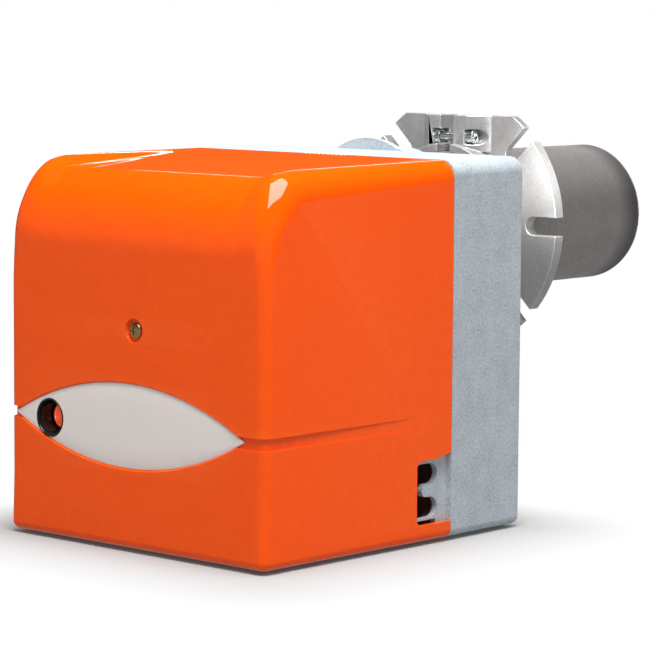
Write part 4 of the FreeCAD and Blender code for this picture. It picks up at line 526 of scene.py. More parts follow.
def ease_edges(made: Piece, width: float, angle: float = 38.0, steps: int = 2,
               clamp: bool = True) -> Piece:
    """Rounds the sharp edges and gives the smooth faces clean shading.

    Args:
        made: Object to finish.
        width: Width of the rounding in millimetres, 0 for none.
        angle: Edges sharper than this many degrees are rounded.
        steps: Faces across a rounding.
        clamp: Whether short edges narrow the rounding.

    Returns:
        The same object with a plain mesh.
    """
    if width:
        bevel = made.modifiers.new("ease", "BEVEL")
        bevel.width, bevel.segments, bevel.limit_method = width * MM, steps, "ANGLE"
        bevel.angle_limit = math.radians(angle)
        bevel.use_clamp_overlap, bevel.harden_normals = clamp, False
        settle(made)
    made.data.polygons.foreach_set("use_smooth", [True] * len(made.data.polygons))
    made.data.set_sharp_from_angle(angle=math.radians(angle + SHARP_PAST))
    mark_rims(made.data)
    weigh = made.modifiers.new("weigh", "WEIGHTED_NORMAL")
    weigh.keep_sharp, weigh.weight = True, FACE_WEIGHT
    return settle(made)


def mark_rims(mesh: bpy.types.Mesh, gain: float = 4.0, start: float = 0.2) -> None:
    """Stores at each point how sharply the surface turns there, which the edge wear and the painted
    rim highlight read.

    Args:
        mesh: Mesh that gets the attribute.
        gain: How fast the value rises with the turn.
        start: How much of the rise a gentle turn leaves out.
    """
    shape = bmesh.new()
    shape.from_mesh(mesh)
    turns = []
    for vertex in shape.verts:
        normals = [face.normal for face in vertex.link_faces]
        least = min((one.dot(other) for one in normals for other in normals), default=1.0)
        turns.append(kept((1.0 - least) * gain - start))
    shape.free()
    stored = mesh.attributes.get(RIM) or mesh.attributes.new(RIM, "FLOAT", "POINT")
    stored.data.foreach_set("value", turns)


def dress(made: Piece, slot: str) -> None:
    """Gives an object one finish."""
    made.data.materials.clear()
    made.data.materials.append(material_of(slot))


def settle_in(made: Piece, body: str, slot: str, *nodes: str, look: Optional[str] = None) -> None:
    """Dresses a piece, lets it ride on its body and hides the nodes that it stands for.

    Args:
        made: Finished piece.
        body: Body that it rides on.
        slot: Slot name of the record.
        nodes: Nodes that it replaces.
        look: Finish of its own within the slot, if it has one.
    """
    dress(made, look or slot)
    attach(made, body)
    if nodes:
        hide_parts(*nodes)
    LOG.info("%s: %d faces on %s in %s", made.name, len(made.data.polygons), body, slot)


def kept(value: float) -> float:
    """Value kept from 0 to 1."""
    return max(0.0, min(1.0, value))


def smooth(value: float, begin: float = 0.0, over: float = 1.0) -> float:
    """Smooth rise from 0 to 1 that begins at a value and takes a length."""
    share = kept((value - begin) / over)
    return share * share * (3 - 2 * share)


def bend(share: float, first: float, middle: float, last: float) -> float:
    """Value on a quadratic curve with three controls."""
    rest = 1 - share
    return rest ** 2 * first + 2 * share * rest * middle + share ** 2 * last


def arc(centre: Flat, radius: float, begin: float, end: float, steps: int) -> list[Flat]:
    """Points on an arc from one angle in degrees to another."""
    turns = [math.radians(begin + (end - begin) * index / steps) for index in range(steps + 1)]
    return [(centre[0] + radius * math.cos(turn), centre[1] + radius * math.sin(turn))
            for turn in turns]


def loft(name: str, first: Sequence[Point], last: Sequence[Point]) -> Piece:
    """Closed solid between two rings.

    Args:
        name: Object name.
        first: Points of one end, in order.
        last: As many points of the other end, in the same order.

    Returns:
        The closed object.
    """
    count = len(first)
    ends = [list(range(count)), list(range(count, 2 * count))]
    sides = [(i, (i + 1) % count, count + (i + 1) % count, count + i) for i in range(count)]
    return mesh_object(name, [*first, *last], ends + sides)


def prism(name: str, outline: Sequence[Flat], low: float, high: float,
          lay: Callable[[float, float, float], Point]) -> Piece:
    """Straight solid over an outline, which lay turns with a level into points of the frame."""
    rings = [[lay(u, v, level) for u, v in outline] for level in (low, high)]
    return loft(name, *rings)


def upright(x: float, y: float, z: float) -> Point:
    """Outline in x and y, level in z."""
    return x, y, z


def facing_front(x: float, z: float, y: float) -> Point:
    """Outline in x and z, level in y."""
    return x, y, z


def facing_side(y: float, z: float, x: float) -> Point:
    """Outline in y and z, level in x."""
    return x, y, z


def block(name: str, low: Point, high: Point) -> Piece:
    """Box between two corners."""
    outline = [(low[0], low[1]), (high[0], low[1]), (high[0], high[1]), (low[0], high[1])]
    return prism(name, outline, low[2], high[2], upright)


def turned(name: str, profile: Sequence[Flat], centre: Flat, steps: int = 64) -> Piece:
    """Solid turned about an axis along y.

    Args:
        name: Object name.
        profile: Radius and y of each point of the closed profile.
        centre: x and z of the axis.
        steps: Faces round the axis.

    Returns:
        The closed object.
    """
    count = len(profile)
    turns = [2 * math.pi * index / steps for index in range(steps)]
    points = [(centre[0] + radius * math.cos(turn), y, centre[1] + radius * math.sin(turn))
              for turn in turns for radius, y in profile]
    rings = [(index * count, (index + 1) % steps * count) for index in range(steps)]
    faces = [(here + step, here + (step + 1) % count, there + (step + 1) % count, there + step)
             for here, there in rings for step in range(count)]
    return mesh_object(name, points, faces)


def drum(name: str, radius: float, begin: float, end: float, centre: Flat,
         steps: int = 64) -> Piece:
    """Plain round solid about an axis along y."""
    profile = [(0.0, begin), (radius, begin), (radius, end), (0.0, end)]
    return turned(name, profile, centre, steps)


def adopt(node: str, body: str, slot: str, width: float, steps: int = 2,
          extra: Optional[Callable[[Piece], None]] = None, clamp: bool = True) -> None:
    """Merged copy of a node with eased edges, which stands for the node.

    Args:
        node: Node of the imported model.
        body: Body that it rides on.
        slot: Slot name of the record.
        width: Width of the eased edges in millimetres.
        steps: Faces across an eased edge.
        extra: What else is done to the copy before its edges are eased.
        clamp: Whether short edges narrow the eased edges.
    """
    made = copy_of(node, node + "_dressed")
    if extra:
        extra(made)
    settle_in(ease_edges(made, width, steps=steps, clamp=clamp), body, slot, node)


def adopt_all(body: str, rows: Rows) -> None:
    """Adopts nodes of one body, each with its slot and the width of its eased edges."""
    for node, slot, width in rows:
        adopt(node, body, slot, width)


# Geometry Nodes for what repeats


class Repeat:
    """Geometry Nodes tree that sets copies of a small shape in a row or a ring."""

    def __init__(self, name: str) -> None:
        """Opens the tree with its inputs.

        Args:
            name: Name of the tree and of the piece made by it.
        """
        self.name = name
        self.group = bpy.data.node_groups.new(name, "GeometryNodeTree")
        face = self.group.interface
        for label, kind in (("Geometry", "Geometry"), ("Count", "Int"), ("Radius", "Float"),
                            ("Start", "Vector"), ("Step", "Vector"), ("Size", "Vector"),
                            ("Finish", "Material")):
            face.new_socket(label, in_out="INPUT", socket_type="NodeSocket" + kind)
        face.new_socket("Geometry", in_out="OUTPUT", socket_type="NodeSocketGeometry")
        self.tree = Tree(self.group)
        self.given = self.tree.put("NodeGroupInput").outputs
        self.out = self.tree.put("NodeGroupOutput").inputs

    def row_of_balls(self) -> None:
        """Small round shapes in a straight row."""
        points = self.tree.put("GeometryNodeMeshLine", Count=self.given["Count"],
                               Start_Location=self.given["Start"], Offset=self.given["Step"])
        ball = self.tree.put("GeometryNodeMeshIcoSphere", Radius=1.0, Subdivisions=2)
        self.close(Points=points.outputs[0], Instance=ball.outputs[0])

    def ring_of_bars(self) -> None:
        """Bars round an axis along z of the tree's own frame, each turned to face out."""
        points = self.tree.put("GeometryNodeMeshCircle", Vertices=self.given["Count"],
                               Radius=self.given["Radius"])
        index = self.tree.put("GeometryNodeInputIndex").outputs[0]
        turn = self.tree.maths("DIVIDE", self.tree.maths("MULTIPLY", index, 2 * math.pi),
                               self.given["Count"])
        angles = self.tree.put("ShaderNodeCombineXYZ", Z=turn)
        bar = self.tree.put("GeometryNodeMeshCube", Size=(1.0, 1.0, 1.0))
        self.close(Points=points.outputs[0], Instance=bar.outputs[0], Rotation=angles.outputs[0])

    def close(self, **inputs: Socket) -> None:
        """Sets the shape on the points and ends the tree.

        Args:
            inputs: Points, Instance and, where the copies turn, Rotation.
        """
        copies = self.tree.put("GeometryNodeInstanceOnPoints", Scale=self.given["Size"], **inputs)
        plain = self.tree.put("GeometryNodeRealizeInstances", Geometry=copies.outputs[0])
        dressed = self.tree.put("GeometryNodeSetMaterial", Geometry=plain.outputs[0],
                                Material=self.given["Finish"])
        self.tree.link(dressed.outputs[0], self.out[0])

    def make(self, slot: str, body: str, place: Matrix, **values: object) -> None:
        """Evaluates the tree to a plain mesh and lets it ride on a body.

        Args:
            slot: Slot name of the record.
            body: Body that the piece rides on.
            place: Where the tree's own frame lies.
            values: Values of the tree's inputs, lengths in millimetres.
        """
        made = mesh_object(self.name, [ORIGIN], [])
        change = made.modifiers.new("repeat", "NODES")
        change.node_group = self.group
        for item in self.group.interface.items_tree:
            value = {**values, "Finish": material_of(slot)}.get(item.name)
            if item.in_out == "INPUT" and value is not None:
                change[item.identifier] = metres(value)
        settle(made)
        made.data.transform(place)
        settle_in(ease_edges(made, 0.0), body, slot)


def metres(value: object) -> object:
    """Millimetres as metres, for one length or three, and anything else as it is."""
    if isinstance(value, tuple):
        return tuple(one * MM for one in value)
    return value * MM if isinstance(value, float) else value


# The hood


class Station(NamedTuple):
    """One place down the middle of the hood, with how its cross-section is there.

    Turns are in radians from straight up. The soft turn is that of the corner's inner edge.
    """

    y: float
    z: float
    turn: float
    soft: float
    corner: float
    lift: float


@dataclass
class Hood:
    """Moulded hood with its badge, its reset opening and the screw that holds it.

    A band is where something begins to change and over what length it does.
    """

    seam: float = -67.4
    front: float = -246.0
    top: float = 253.0
    half: float = 122.5
    half_front: float = 117.6
    crease_y: float = -218.8
    brow_y: float = -186.4
    brow_z: float = 196.0
    brow: float = 59.6
    wall: float = 3.2
    foot: float = 6.0
    foot_band: Flat = (40.0, 34.0)
    core_past: float = 8.0
    corner_seam: float = 10.4
    corner_crease: float = 15.0
    corner_front: float = 8.0
    corner_band: Flat = (12.0, 78.0)
    crease_reach: float = 1.8
    crease_band: Flat = (-35.0, 60.0)
    side_crease: float = 14.0
    side_band: Flat = (12.0, 38.0)
    corner_least: float = 0.4
    corner_steps: int = 16
    bend_reach: float = 0.8
    bend_most: float = 0.2
    bend_turn: float = 1.2
    bend_steps: int = 5
    lid_steps: int = 26
    crease_steps: int = 6
    brow_steps: int = 30
    face_steps: int = 22
    foot_steps: int = 8
    cheek_width: float = 16.0
    cheek_steps: int = 6
    cheek_fade: float = 60.0
    cheek_power: float = 1.4
    cheek_round: float = 20.0
    cheek_shares: Flat = (1.0, 0.65)
    groove: tuple[float, float, float, float] = (77.0, 84.6, 2.2, -97.0)  # low, high, deep, stop
    badge: tuple[float, float, float, float] = (-6.0, 81.0, 105.5, 28.0)  # x, z, half long, high
    badge_steps: int = 72
    badge_sunk: float = 1.3
    badge_gap: float = 0.25
    hole_gap: float = 0.3
    hole_past: Flat = (6.0, 2.0)
    badge_crown: float = 1.1
    crown_power: int = 6
    badge_grid: tuple[int, int] = (96, 14)
    lip: tuple[float, float, float] = (2.4, -0.3, 1.2)  # wide, narrow, half deep
    reset: Flat = (-78.0, 79.6)
    reset_hole: float = 12.9
    reset_deep: float = 9.0
    collar: tuple[float, ...] = (0.2, 0.1, 17.5, 5.4)  # gap, front, rear, front of its shoulder
    lens_front: float = -234.5
    lens_back: float = -213.0
    screw: Flat = (2.0, 144.0)
    screw_head: float = 5.5
    screw_hole: float = 2.8
    screw_end: float = -212.8
    cross: Flat = (2.9, 0.55)
    cross_reach: Flat = (6.0, 1.1)
    dish: tuple[float, float, float, float] = (8.0, 2.2, 0.6, 1.2)  # radius, deep, rim, slope
    column: tuple[float, float, float] = (8.0, 1.6, -227.3)  # radius, start in the wall, end
    window: tuple[float, ...] = (-101.5, -60.0, 11.6, 54.8, 5.0)  # front, rear, low, high, corner
    window_steps: int = 8
    window_rise: tuple[Flat, ...] = (
        (-31.0, 0.2), (-21.4, 0.6), (-15.4, 1.4), (-11.4, 2.6), (-8.9, 3.2), (0.0, 6.2))
    window_reach: Flat = (112.0, 130.0)
    vent_count: int = 9
    vents: tuple[float, ...] = (14.0, 4.0, -217.0, -107.0)  # pitch, width, front end, rear end
    vent_reach: Flat = (-1.0, 4.6)
    pips: tuple[int, float, float] = (10, -10.6, 4.0)  # count, first, pitch
    pip_at: Flat = (1.0, -0.1)  # behind the seam, above the top
    pip_size: Point = (1.1, 0.9, 0.9)
    clear: float = 4.0

    def half_at(self, y: float) -> float:
        """Half the width of the hood at a depth."""
        share = (self.seam - y) / (self.seam - self.front)
        return self.half - (self.half - self.half_front) * share

    @property
    def low_turn(self) -> float:
        """Turn of the brow where the lid meets it."""
        ahead = self.brow_y - self.crease_y
        return math.atan2(ahead, math.sqrt(self.brow ** 2 - ahead ** 2))

    @property
    def fall(self) -> float:
        """Slope of the lid in radians."""
        drop = self.top - self.brow_z - self.brow * math.cos(self.low_turn)
        return math.atan2(drop, self.seam - self.crease_y)

    def lift_at(self, along: float) -> float:
        """How far the cheeks stand out, with the crease rounded away on them.

        Args:
            along: Distance past the crease.

        Returns:
            Height above the lid or the brow.
        """
        if along > self.cheek_fade:
            return 0.0
        level = (self.seam - self.crease_y) * math.tan(self.fall)
        full = max(0.0, level + along * math.sin(self.fall))
        if along > 0:
            full = level * (1 - along / self.cheek_fade) ** self.cheek_power
        near = max(0.0, self.cheek_round - abs(along))
        return full - (self.low_turn - self.fall) / (4 * self.cheek_round) * near * near

    def corner_at(self, along: float, y: float) -> float:
        """Corner radius at a distance past the crease.

        Args:
            along: Distance past the crease, below 0 on the lid.
            y: Depth there.

        Returns:
            The radius.
        """
        if along <= 0:
            share = (self.seam - max(y, self.crease_y)) / (self.seam - self.crease_y)
            return self.corner_seam + (self.corner_crease - self.corner_seam) * kept(share)
        share = smooth(along, *self.corner_band)
        return self.corner_crease + (self.corner_front - self.corner_crease) * share

    def stations(self, inset: float, start: float) -> list[Station]:
        """Profile of the hood down its middle, from the seam over the top and front to the floor.

        Args:
            inset: How far the profile is drawn in.
            start: Depth at which it starts.

        Returns:
            The places from first to last.
        """
        reach = self.brow - inset
        low_turn, fall = self.low_turn, self.fall
        jump = low_turn - fall
        crease_z = self.brow_z + reach * math.cos(low_turn)
        crease_y = self.brow_y - reach * math.sin(low_turn)
        length = (start - crease_y) / math.cos(fall)
        rows: list[Station] = []

        def add(y: float, z: float, turn: float, base: float, along: float) -> None:
            """Adds a place on the lid or the brow, where base is the turn without the crease."""
            soft = base + jump * smooth(along, *self.crease_band)
            rows.append(Station(y, z, turn, soft, self.corner_at(along, y), self.lift_at(along)))

        for index in range(self.lid_steps + 1):
            along = -length + (length - self.crease_reach) * index / self.lid_steps
            add(crease_y - along * math.cos(fall), crease_z - along * math.sin(fall), fall, fall,
                along)
        first = self.crease_reach / reach
        begin = low_turn + first
        before = (crease_y + self.crease_reach * math.cos(fall),
                  crease_z + self.crease_reach * math.sin(fall))
        after = (self.brow_y - reach * math.sin(begin), self.brow_z + reach * math.cos(begin))
        for index in range(1, self.crease_steps):
            share = index / self.crease_steps
            y = bend(share, before[0], crease_y, after[0])
            z = bend(share, before[1], crease_z, after[1])
            along = self.crease_reach * (2 * share - 1)
            add(y, z, fall + (jump + first) * share, fall, along)
        for index in range(self.brow_steps + 1):
            turn = begin + (math.pi / 2 - low_turn - first) * index / self.brow_steps
            add(self.brow_y - reach * math.sin(turn), self.brow_z + reach * math.cos(turn), turn,
                turn - jump, reach * (turn - low_turn))
        base = reach * (math.pi / 2 - low_turn)
        face_y, foot = self.front + inset, self.foot - inset
        foot_top, foot_over = self.foot_band
        for index in range(1, self.face_steps + 1):
            z = self.brow_z + (self.foot - self.brow_z) * index / self.face_steps
            along = base + self.brow_z - z
            corner = self.corner_at(along, face_y)
            corner += (self.foot - corner) * kept((foot_top - z) / foot_over)
            rows.append(Station(face_y, z, math.pi / 2, math.pi / 2, corner, self.lift_at(along)))
        middle = self.front + self.foot
        for index in range(1, self.foot_steps + 1):
            turn = math.pi / 2 * (1 + index / self.foot_steps)
            rows.append(Station(middle - foot * math.sin(turn), self.foot + foot * math.cos(turn),
                                turn, turn, self.foot, 0.0))
        for index in range(1, self.foot_steps + 1):
            y = middle + (start - self.front - self.foot) * index / self.foot_steps
            rows.append(Station(y, inset, math.pi, math.pi, self.foot, 0.0))
        return rows

    def section(self, corner: float, crease: float) -> list[Flat]:
        """Half of a cross-section's round corner, from the flat to the side.

        Args:
            corner: How far the round corner reaches in from the side.
            crease: Turn in radians by which the corner starts sharply, 0 for a smooth start.

        Returns:
            For each point, its distance in from the side, and its share of the drop that is still
            above it.
        """
        radius = corner / (1 - math.sin(crease))
        ahead = min(self.crease_reach * self.bend_reach, corner * self.bend_most)
        first = crease + ahead / radius * self.bend_turn
        begin = (radius * (1 - math.sin(first)), math.cos(first) / math.cos(crease))
        flat = [(corner + ahead + self.cheek_width * (1 - index / self.cheek_steps), 1.0)
                for index in range(self.cheek_steps + 1)]
        flat += [(bend(index / self.bend_steps, corner + ahead, corner, begin[0]),
                  bend(index / self.bend_steps, 1.0, 1.0, begin[1]))
                 for index in range(1, self.bend_steps)]
        for index in range(self.corner_steps + 1):
            turn = first + (math.pi / 2 - first) * index / self.corner_steps
            flat.append((radius * (1 - math.sin(turn)), math.cos(turn) / math.cos(crease)))
        return flat

    def ring(self, at: Station, side: int, inset: float, end: Optional[float]) -> list[Point]:
        """Half of one cross-section, from the cheek's inner edge to the side.

        Args:
            at: Place of the cross-section.
            side: -1 for the left half, 1 for the right.
            inset: How far the form is drawn in from the outside.
            end: Depth of all its points, where it ends the form.

        Returns:
            The points, from left to right.
        """
        share = self.cheek_shares[side > 0]
        corner = max(self.corner_least, at.corner - inset)
        fade = smooth(at.z - self.brow_z, *self.side_band) if at.turn < math.pi / 2 else 0.0
        crease = math.radians(self.side_crease) * fade
        drop = corner * math.cos(crease) / (1 - math.sin(crease))
        inner = (at.y + drop * math.sin(at.soft), at.z - drop * math.cos(at.soft))
        points = []
        for index, (away, reach) in enumerate(self.section(corner, crease)):
            out = at.lift * share * smooth(index / self.cheek_steps)
            y = inner[0] + (at.y - inner[0]) * reach - out * math.sin(at.soft)
            z = inner[1] + (at.z - inner[1]) * reach + out * math.cos(at.soft)
            y = y if end is None else end
            points.append((side * (self.half_at(y) - inset - away), y, z))
        return points[::side]

    def form(self, name: str, inset: float, start: float) -> Piece:
        """Closed form of the hood.

        Args:
            name: Object name.
            inset: How far it is drawn in from the outside.
            start: Depth of its rear end.

        Returns:
            The closed object.
        """
        rows = self.stations(inset, start)
        ends = (0, len(rows) - 1)
        points: list[Point] = []
        for number, at in enumerate(rows):
            for side in (-1, 1):
                points += self.ring(at, side, inset, start if number in ends else None)
        wide = len(points) // len(rows)
        faces = [[row + i, row + i + 1, row + wide + i + 1, row + wide + i]
                 for row in range(0, ends[1] * wide, wide) for i in range(wide - 1)]
        faces.append([row * wide for row in range(len(rows))])
        faces.append([row * wide + wide - 1 for row in range(len(rows))])
        faces.append(list(range(wide)) + [ends[1] * wide + i for i in reversed(range(wide))])
        return mesh_object(name, points, faces, merge=0.01)

    def groove_tool(self) -> Piece:
        """Band that cuts the groove round the front and both sides.

        Returns:
            The closed object.
        """
        low, high, deep, stop = self.groove
        beyond, past_side, steps = 10.0, 0.1, 8
        corner = self.corner_front - deep
        floor = self.front + deep
        side = self.half_at(floor + corner) - deep
        inner = [(self.half_at(stop) + past_side, stop),
                 *arc((side - corner, floor + corner), corner, 0, -90, steps)]
        inner += [(-x, y) for x, y in reversed(inner)]
        wide, ahead = self.half + beyond, self.front - beyond
        band = [(wide, stop), *inner, (-wide, stop), (-wide, ahead), (wide, ahead)]
        return prism("groove_tool", band, low, high, upright)

    def lens(self, grow: float) -> list[Flat]:
        """Outline of the badge.

        Args:
            grow: How far it stands out from the badge's own outline.

        Returns:
            Points as x and z.
        """
        centre_x, centre_z, long, high = self.badge
        long, high = long + grow, high + grow
        radius = (long * long + high * high) / (2 * high)
        reach, steps = math.degrees(math.asin(long / radius)), self.badge_steps
        upper = arc((centre_x, centre_z + high - radius), radius, 90 - reach, 90 + reach, steps)
        lower = arc((centre_x, centre_z - high + radius), radius, 270 - reach, 270 + reach, steps)
        return upper + lower[1:-1]

    def window_outline(self) -> list[Flat]:
        """Outline of the window over the hose comb, whose upper edge rises to the seam.

        Returns:
            Points as y and z.
        """
        near, far, low, high, corner = self.window
        lower = arc((near + corner, low + corner), corner, 180, 270, self.window_steps)
        upper = arc((near + corner, high - corner), corner, 90, 180, self.window_steps)
        return [(far, low), *reversed(lower), *reversed(upper),
                *[(far + along, high + rise) for along, rise in self.window_rise]]

    def build_shell(self) -> None:
        """Hood's shell with everything that is cut into it."""
        ahead = self.front - self.clear
        shell = self.form("hood_shell", 0.0, self.seam)
        combine(shell, self.form("hood_core", self.wall, self.seam + self.core_past))
        radius, begin, end = self.column
        combine(shell, drum("column", radius, self.front + begin, end, self.screw, steps=48),
                "UNION")
        combine(shell, self.groove_tool())
        deep = self.front + self.groove[2]
        combine(shell, prism("lens_tool", self.lens(0.0), ahead, deep, facing_front))
        wide, narrow, slope = self.lip
        rims = [[facing_front(x, z, self.front + level) for x, z in self.lens(grow)]
                for grow, level in ((wide, -slope), (narrow, slope))]
        combine(shell, loft("lens_lip", *rims))
        radius, deep, rim, slope = self.dish
        dish = [(0.0, ahead), (radius, ahead), (radius, self.front + rim),
                (radius - slope, self.front + deep), (0.0, self.front + deep)]
        combine(shell, turned("dish_tool", dish, self.screw))
        combine(shell, drum("hole_tool", self.screw_hole, ahead, end + self.clear, self.screw,
                            steps=32))
        combine(shell, drum("reset_tool", self.reset_hole, ahead, self.front + self.reset_deep,
                            self.reset))
        combine(shell, prism("window_tool", self.window_outline(), *self.window_reach, facing_side))
        pitch, width, begin, stop = self.vents
        for index in range(self.vent_count):
            x = pitch * (index - (self.vent_count - 1) / 2)
            combine(shell, block("vent_tool", (x - width / 2, begin, self.vent_reach[0]),
                                 (x + width / 2, stop, self.vent_reach[1])))
        settle_in(ease_edges(shell, width=0.45, angle=40.0), "hood", "hood_plastic", "hood")

    def build_badge(self) -> None:
        """Bare crowned plate in the hood's recess."""
        centre_x, centre_z, long, high = self.badge
        long, high = long - self.badge_gap, high - self.badge_gap
        radius = (long * long + high * high) / (2 * high)
        front, back = self.front + self.badge_sunk, self.front + self.groove[2]
        columns, rows = self.badge_grid
        points: list[Point] = []
        for index in range(columns + 1):
            across = -long + 2 * long * index / columns
            rise = math.sqrt(max(0.0, radius * radius - across * across)) - radius + high
            for step in range(rows + 1):
                share = math.sin(math.pi * (step / rows - 0.5))
                crown = self.badge_crown * (1 - share ** self.crown_power) * math.sqrt(rise / high)
                points.append((centre_x + across, front - crown, centre_z + rise * share))
        count = len(points)
        points += [(x, back, z) for x, _, z in points]
        wide = rows + 1
        faces = [[shift + c * wide + r, shift + (c + 1) * wide + r,
                  shift + (c + 1) * wide + r + 1, shift + c * wide + r + 1]
                 for shift in (0, count) for c in range(columns) for r in range(rows)]
        faces += [[c * wide + r, (c + 1) * wide + r, count + (c + 1) * wide + r,
                   count + c * wide + r] for r in (0, rows) for c in range(columns)]
        plate = mesh_object("badge_plate", points, faces, merge=0.02)
        ahead, behind = self.hole_past
        combine(plate, drum("badge_hole", self.reset_hole + self.hole_gap, front - ahead,
                            back + behind, self.reset))
        settle_in(ease_edges(plate, width=0.5, angle=50.0), "hood", "badge_plate", "badge")

    def build_collar(self) -> None:
        """Black funnel that leads a finger to the reset button."""
        outer = self.reset_hole - self.collar[0]
        front, back, behind = (self.front + away for away in self.collar[1:])
        profile = [
            (outer, front + 0.6), (outer - 0.3, front + 0.1), (outer - 0.8, front + 0.2),
            (outer - 1.3, front + 0.9), (outer - 1.7, front + 3.0), (outer - 3.4, back - 0.4),
            (outer - 2.6, back), (outer, back), (outer, behind + 2.0),
            (outer + 1.9, behind + 2.0), (outer + 1.9, behind), (outer, behind)]
        collar = turned("reset_collar_funnel", profile, self.reset, steps=72)
        settle_in(ease_edges(collar, width=0.15, angle=50.0), "hood", "collar_plastic",
                  "reset_collar")

    def build_button(self) -> None:
        """Red lens of the reset button, with a shallow dome inside a raised ring."""
        front, back = self.lens_front, self.lens_back
        profile = [
            (0.0, front + 0.5), (2.2, front + 0.62), (4.2, front + 1.1), (5.4, front + 1.7),
            (5.9, front + 1.6), (6.5, front + 0.4), (7.3, front), (8.1, front + 0.25),
            (8.5, front + 1.1), (8.5, back), (0.0, back)]
        button = ease_edges(turned("reset_lens", profile, self.reset), width=0.0, angle=50.0)
        settle_in(button, "reset", "reset_red", "reset_button")

    def build_screw(self) -> None:
        """Hood screw with a domed head and a cross recess."""
        head, end, seat = self.screw_head, self.screw_end, self.front + self.dish[1]
        profile = [
            (0.0, seat - 2.7), (1.8, seat - 2.62), (3.4, seat - 2.3), (4.6, seat - 1.7),
            (5.2, seat - 1.0), (head, seat - 0.4), (head, seat - 0.02), (2.5, seat - 0.02),
            (2.5, end - 1.2), (1.7, end), (0.0, end)]
        screw = turned("hood_screw_turned", profile, self.screw, steps=48)
        x, z = self.screw
        above, floor = self.cross_reach
        for long, wide in (self.cross, self.cross[::-1]):
            combine(screw, block("cross_tool", (x - long, seat - above, z - wide),
                                 (x + long, seat - floor, z + wide)))
        settle_in(ease_edges(screw, width=0.12, angle=45.0), "hood", "zinc_screws", "hood_screw",
                  look="yellow_zinc")

    def build_pips(self) -> None:
        """Row of small pips on the rear top edge, where the hood is centred on the body."""
        count, first, pitch = self.pips
        start = (first, self.seam + self.pip_at[0], self.top + self.pip_at[1])
        repeat = Repeat("hood_pips")
        repeat.row_of_balls()
        repeat.make("pale_plastic", "hood", Matrix.Identity(4), Count=count, Start=start,
                    Step=(pitch, 0.0, 0.0), Size=self.pip_size)

    def build(self) -> None:
        """Builds and dresses every piece of the hood."""
        self.build_shell()
        self.build_badge()
        self.build_collar()
        self.build_button()
        self.build_screw()
        self.build_pips()


# What stands behind the hood


@dataclass
class Body:
    """Casting with its hose comb, the plate on its front and the plate's screws."""

    edge: float = 0.7
    comb_slot: tuple[Point, Point] = ((112.6, -110.0, 5.0), (118.6, -77.5, 14.0))
    rest: Rows = (("mounting_plate", "plate_steel", 0.3), ("plate_screws", "zinc_screws", 0.0),
                  ("control_bracket", "plate_steel", 0.3))

    def trim(self, made: Piece) -> None:
        """Cuts the slot below the hose comb."""
        combine(made, block("comb_slot", *self.comb_slot))

    def build(self) -> None:
        """Builds and dresses the body's pieces."""
        adopt("burner_body", "burner", "casting", self.edge, steps=3, extra=self.trim)
        adopt_all("burner", self.rest)


@dataclass
class TubeAndFlange:
    """Blast tube with its rolled mouth, and the sliding flange that clamps on it."""

    start: float = 7.5
    even_from: float = 8.0
    end: float = 250.0
    outer: float = 51.0
    wall: float = 1.5
    lip: float = 8.0
    axis: Flat = (0.0, 199.0)
    steps: int = 144
    even_steps: int = 14
    roll_from: float = 6.0
    roll_steps: tuple[int, int] = (14, 12)
    rim: float = 0.4
    bead: Flat = (0.5, 0.2)
    flange_edge: float = 0.7

    def build_tube(self) -> None:
        """Blast tube, turned with its mouth rolled in."""
        radius, y = self.outer - self.lip, self.end - self.lip
        even, length = self.start + self.even_from, y - self.start - self.even_from
        inward, round_off = self.bead
        profile = [(self.outer, self.start + self.rim)]
        profile += [(self.outer, even + length * index / self.even_steps)
                    for index in range(self.even_steps + 1)]
        profile += arc((radius, y), self.lip, self.roll_from, 90, self.roll_steps[0])
        profile += [(radius - inward, self.end - round_off),
                    (radius - inward, self.end - self.wall + round_off)]
        profile += arc((radius, y), self.lip - self.wall, 90, 0, self.roll_steps[1])
        profile += [(self.outer - self.wall, self.start), (self.outer - self.rim, self.start)]
        tube = turned("blast_tube_turned", profile, self.axis, self.steps)
        settle_in(ease_edges(tube, width=0.0, angle=50.0), "burner", "tube_steel", "blast_tube")

    def build(self) -> None:
        """Builds and dresses tube, flange and their screws."""
        self.build_tube()
        adopt("tube_screws", "burner", "zinc_screws", 0.15)
        adopt("boiler_flange", "flange", "flange_casting", self.flange_edge, clamp=False)
        adopt_all("flange", (("clamp_screw", "zinc_screws", 0.25),
                             ("clamp_nut", "zinc_screws", 0.25)))


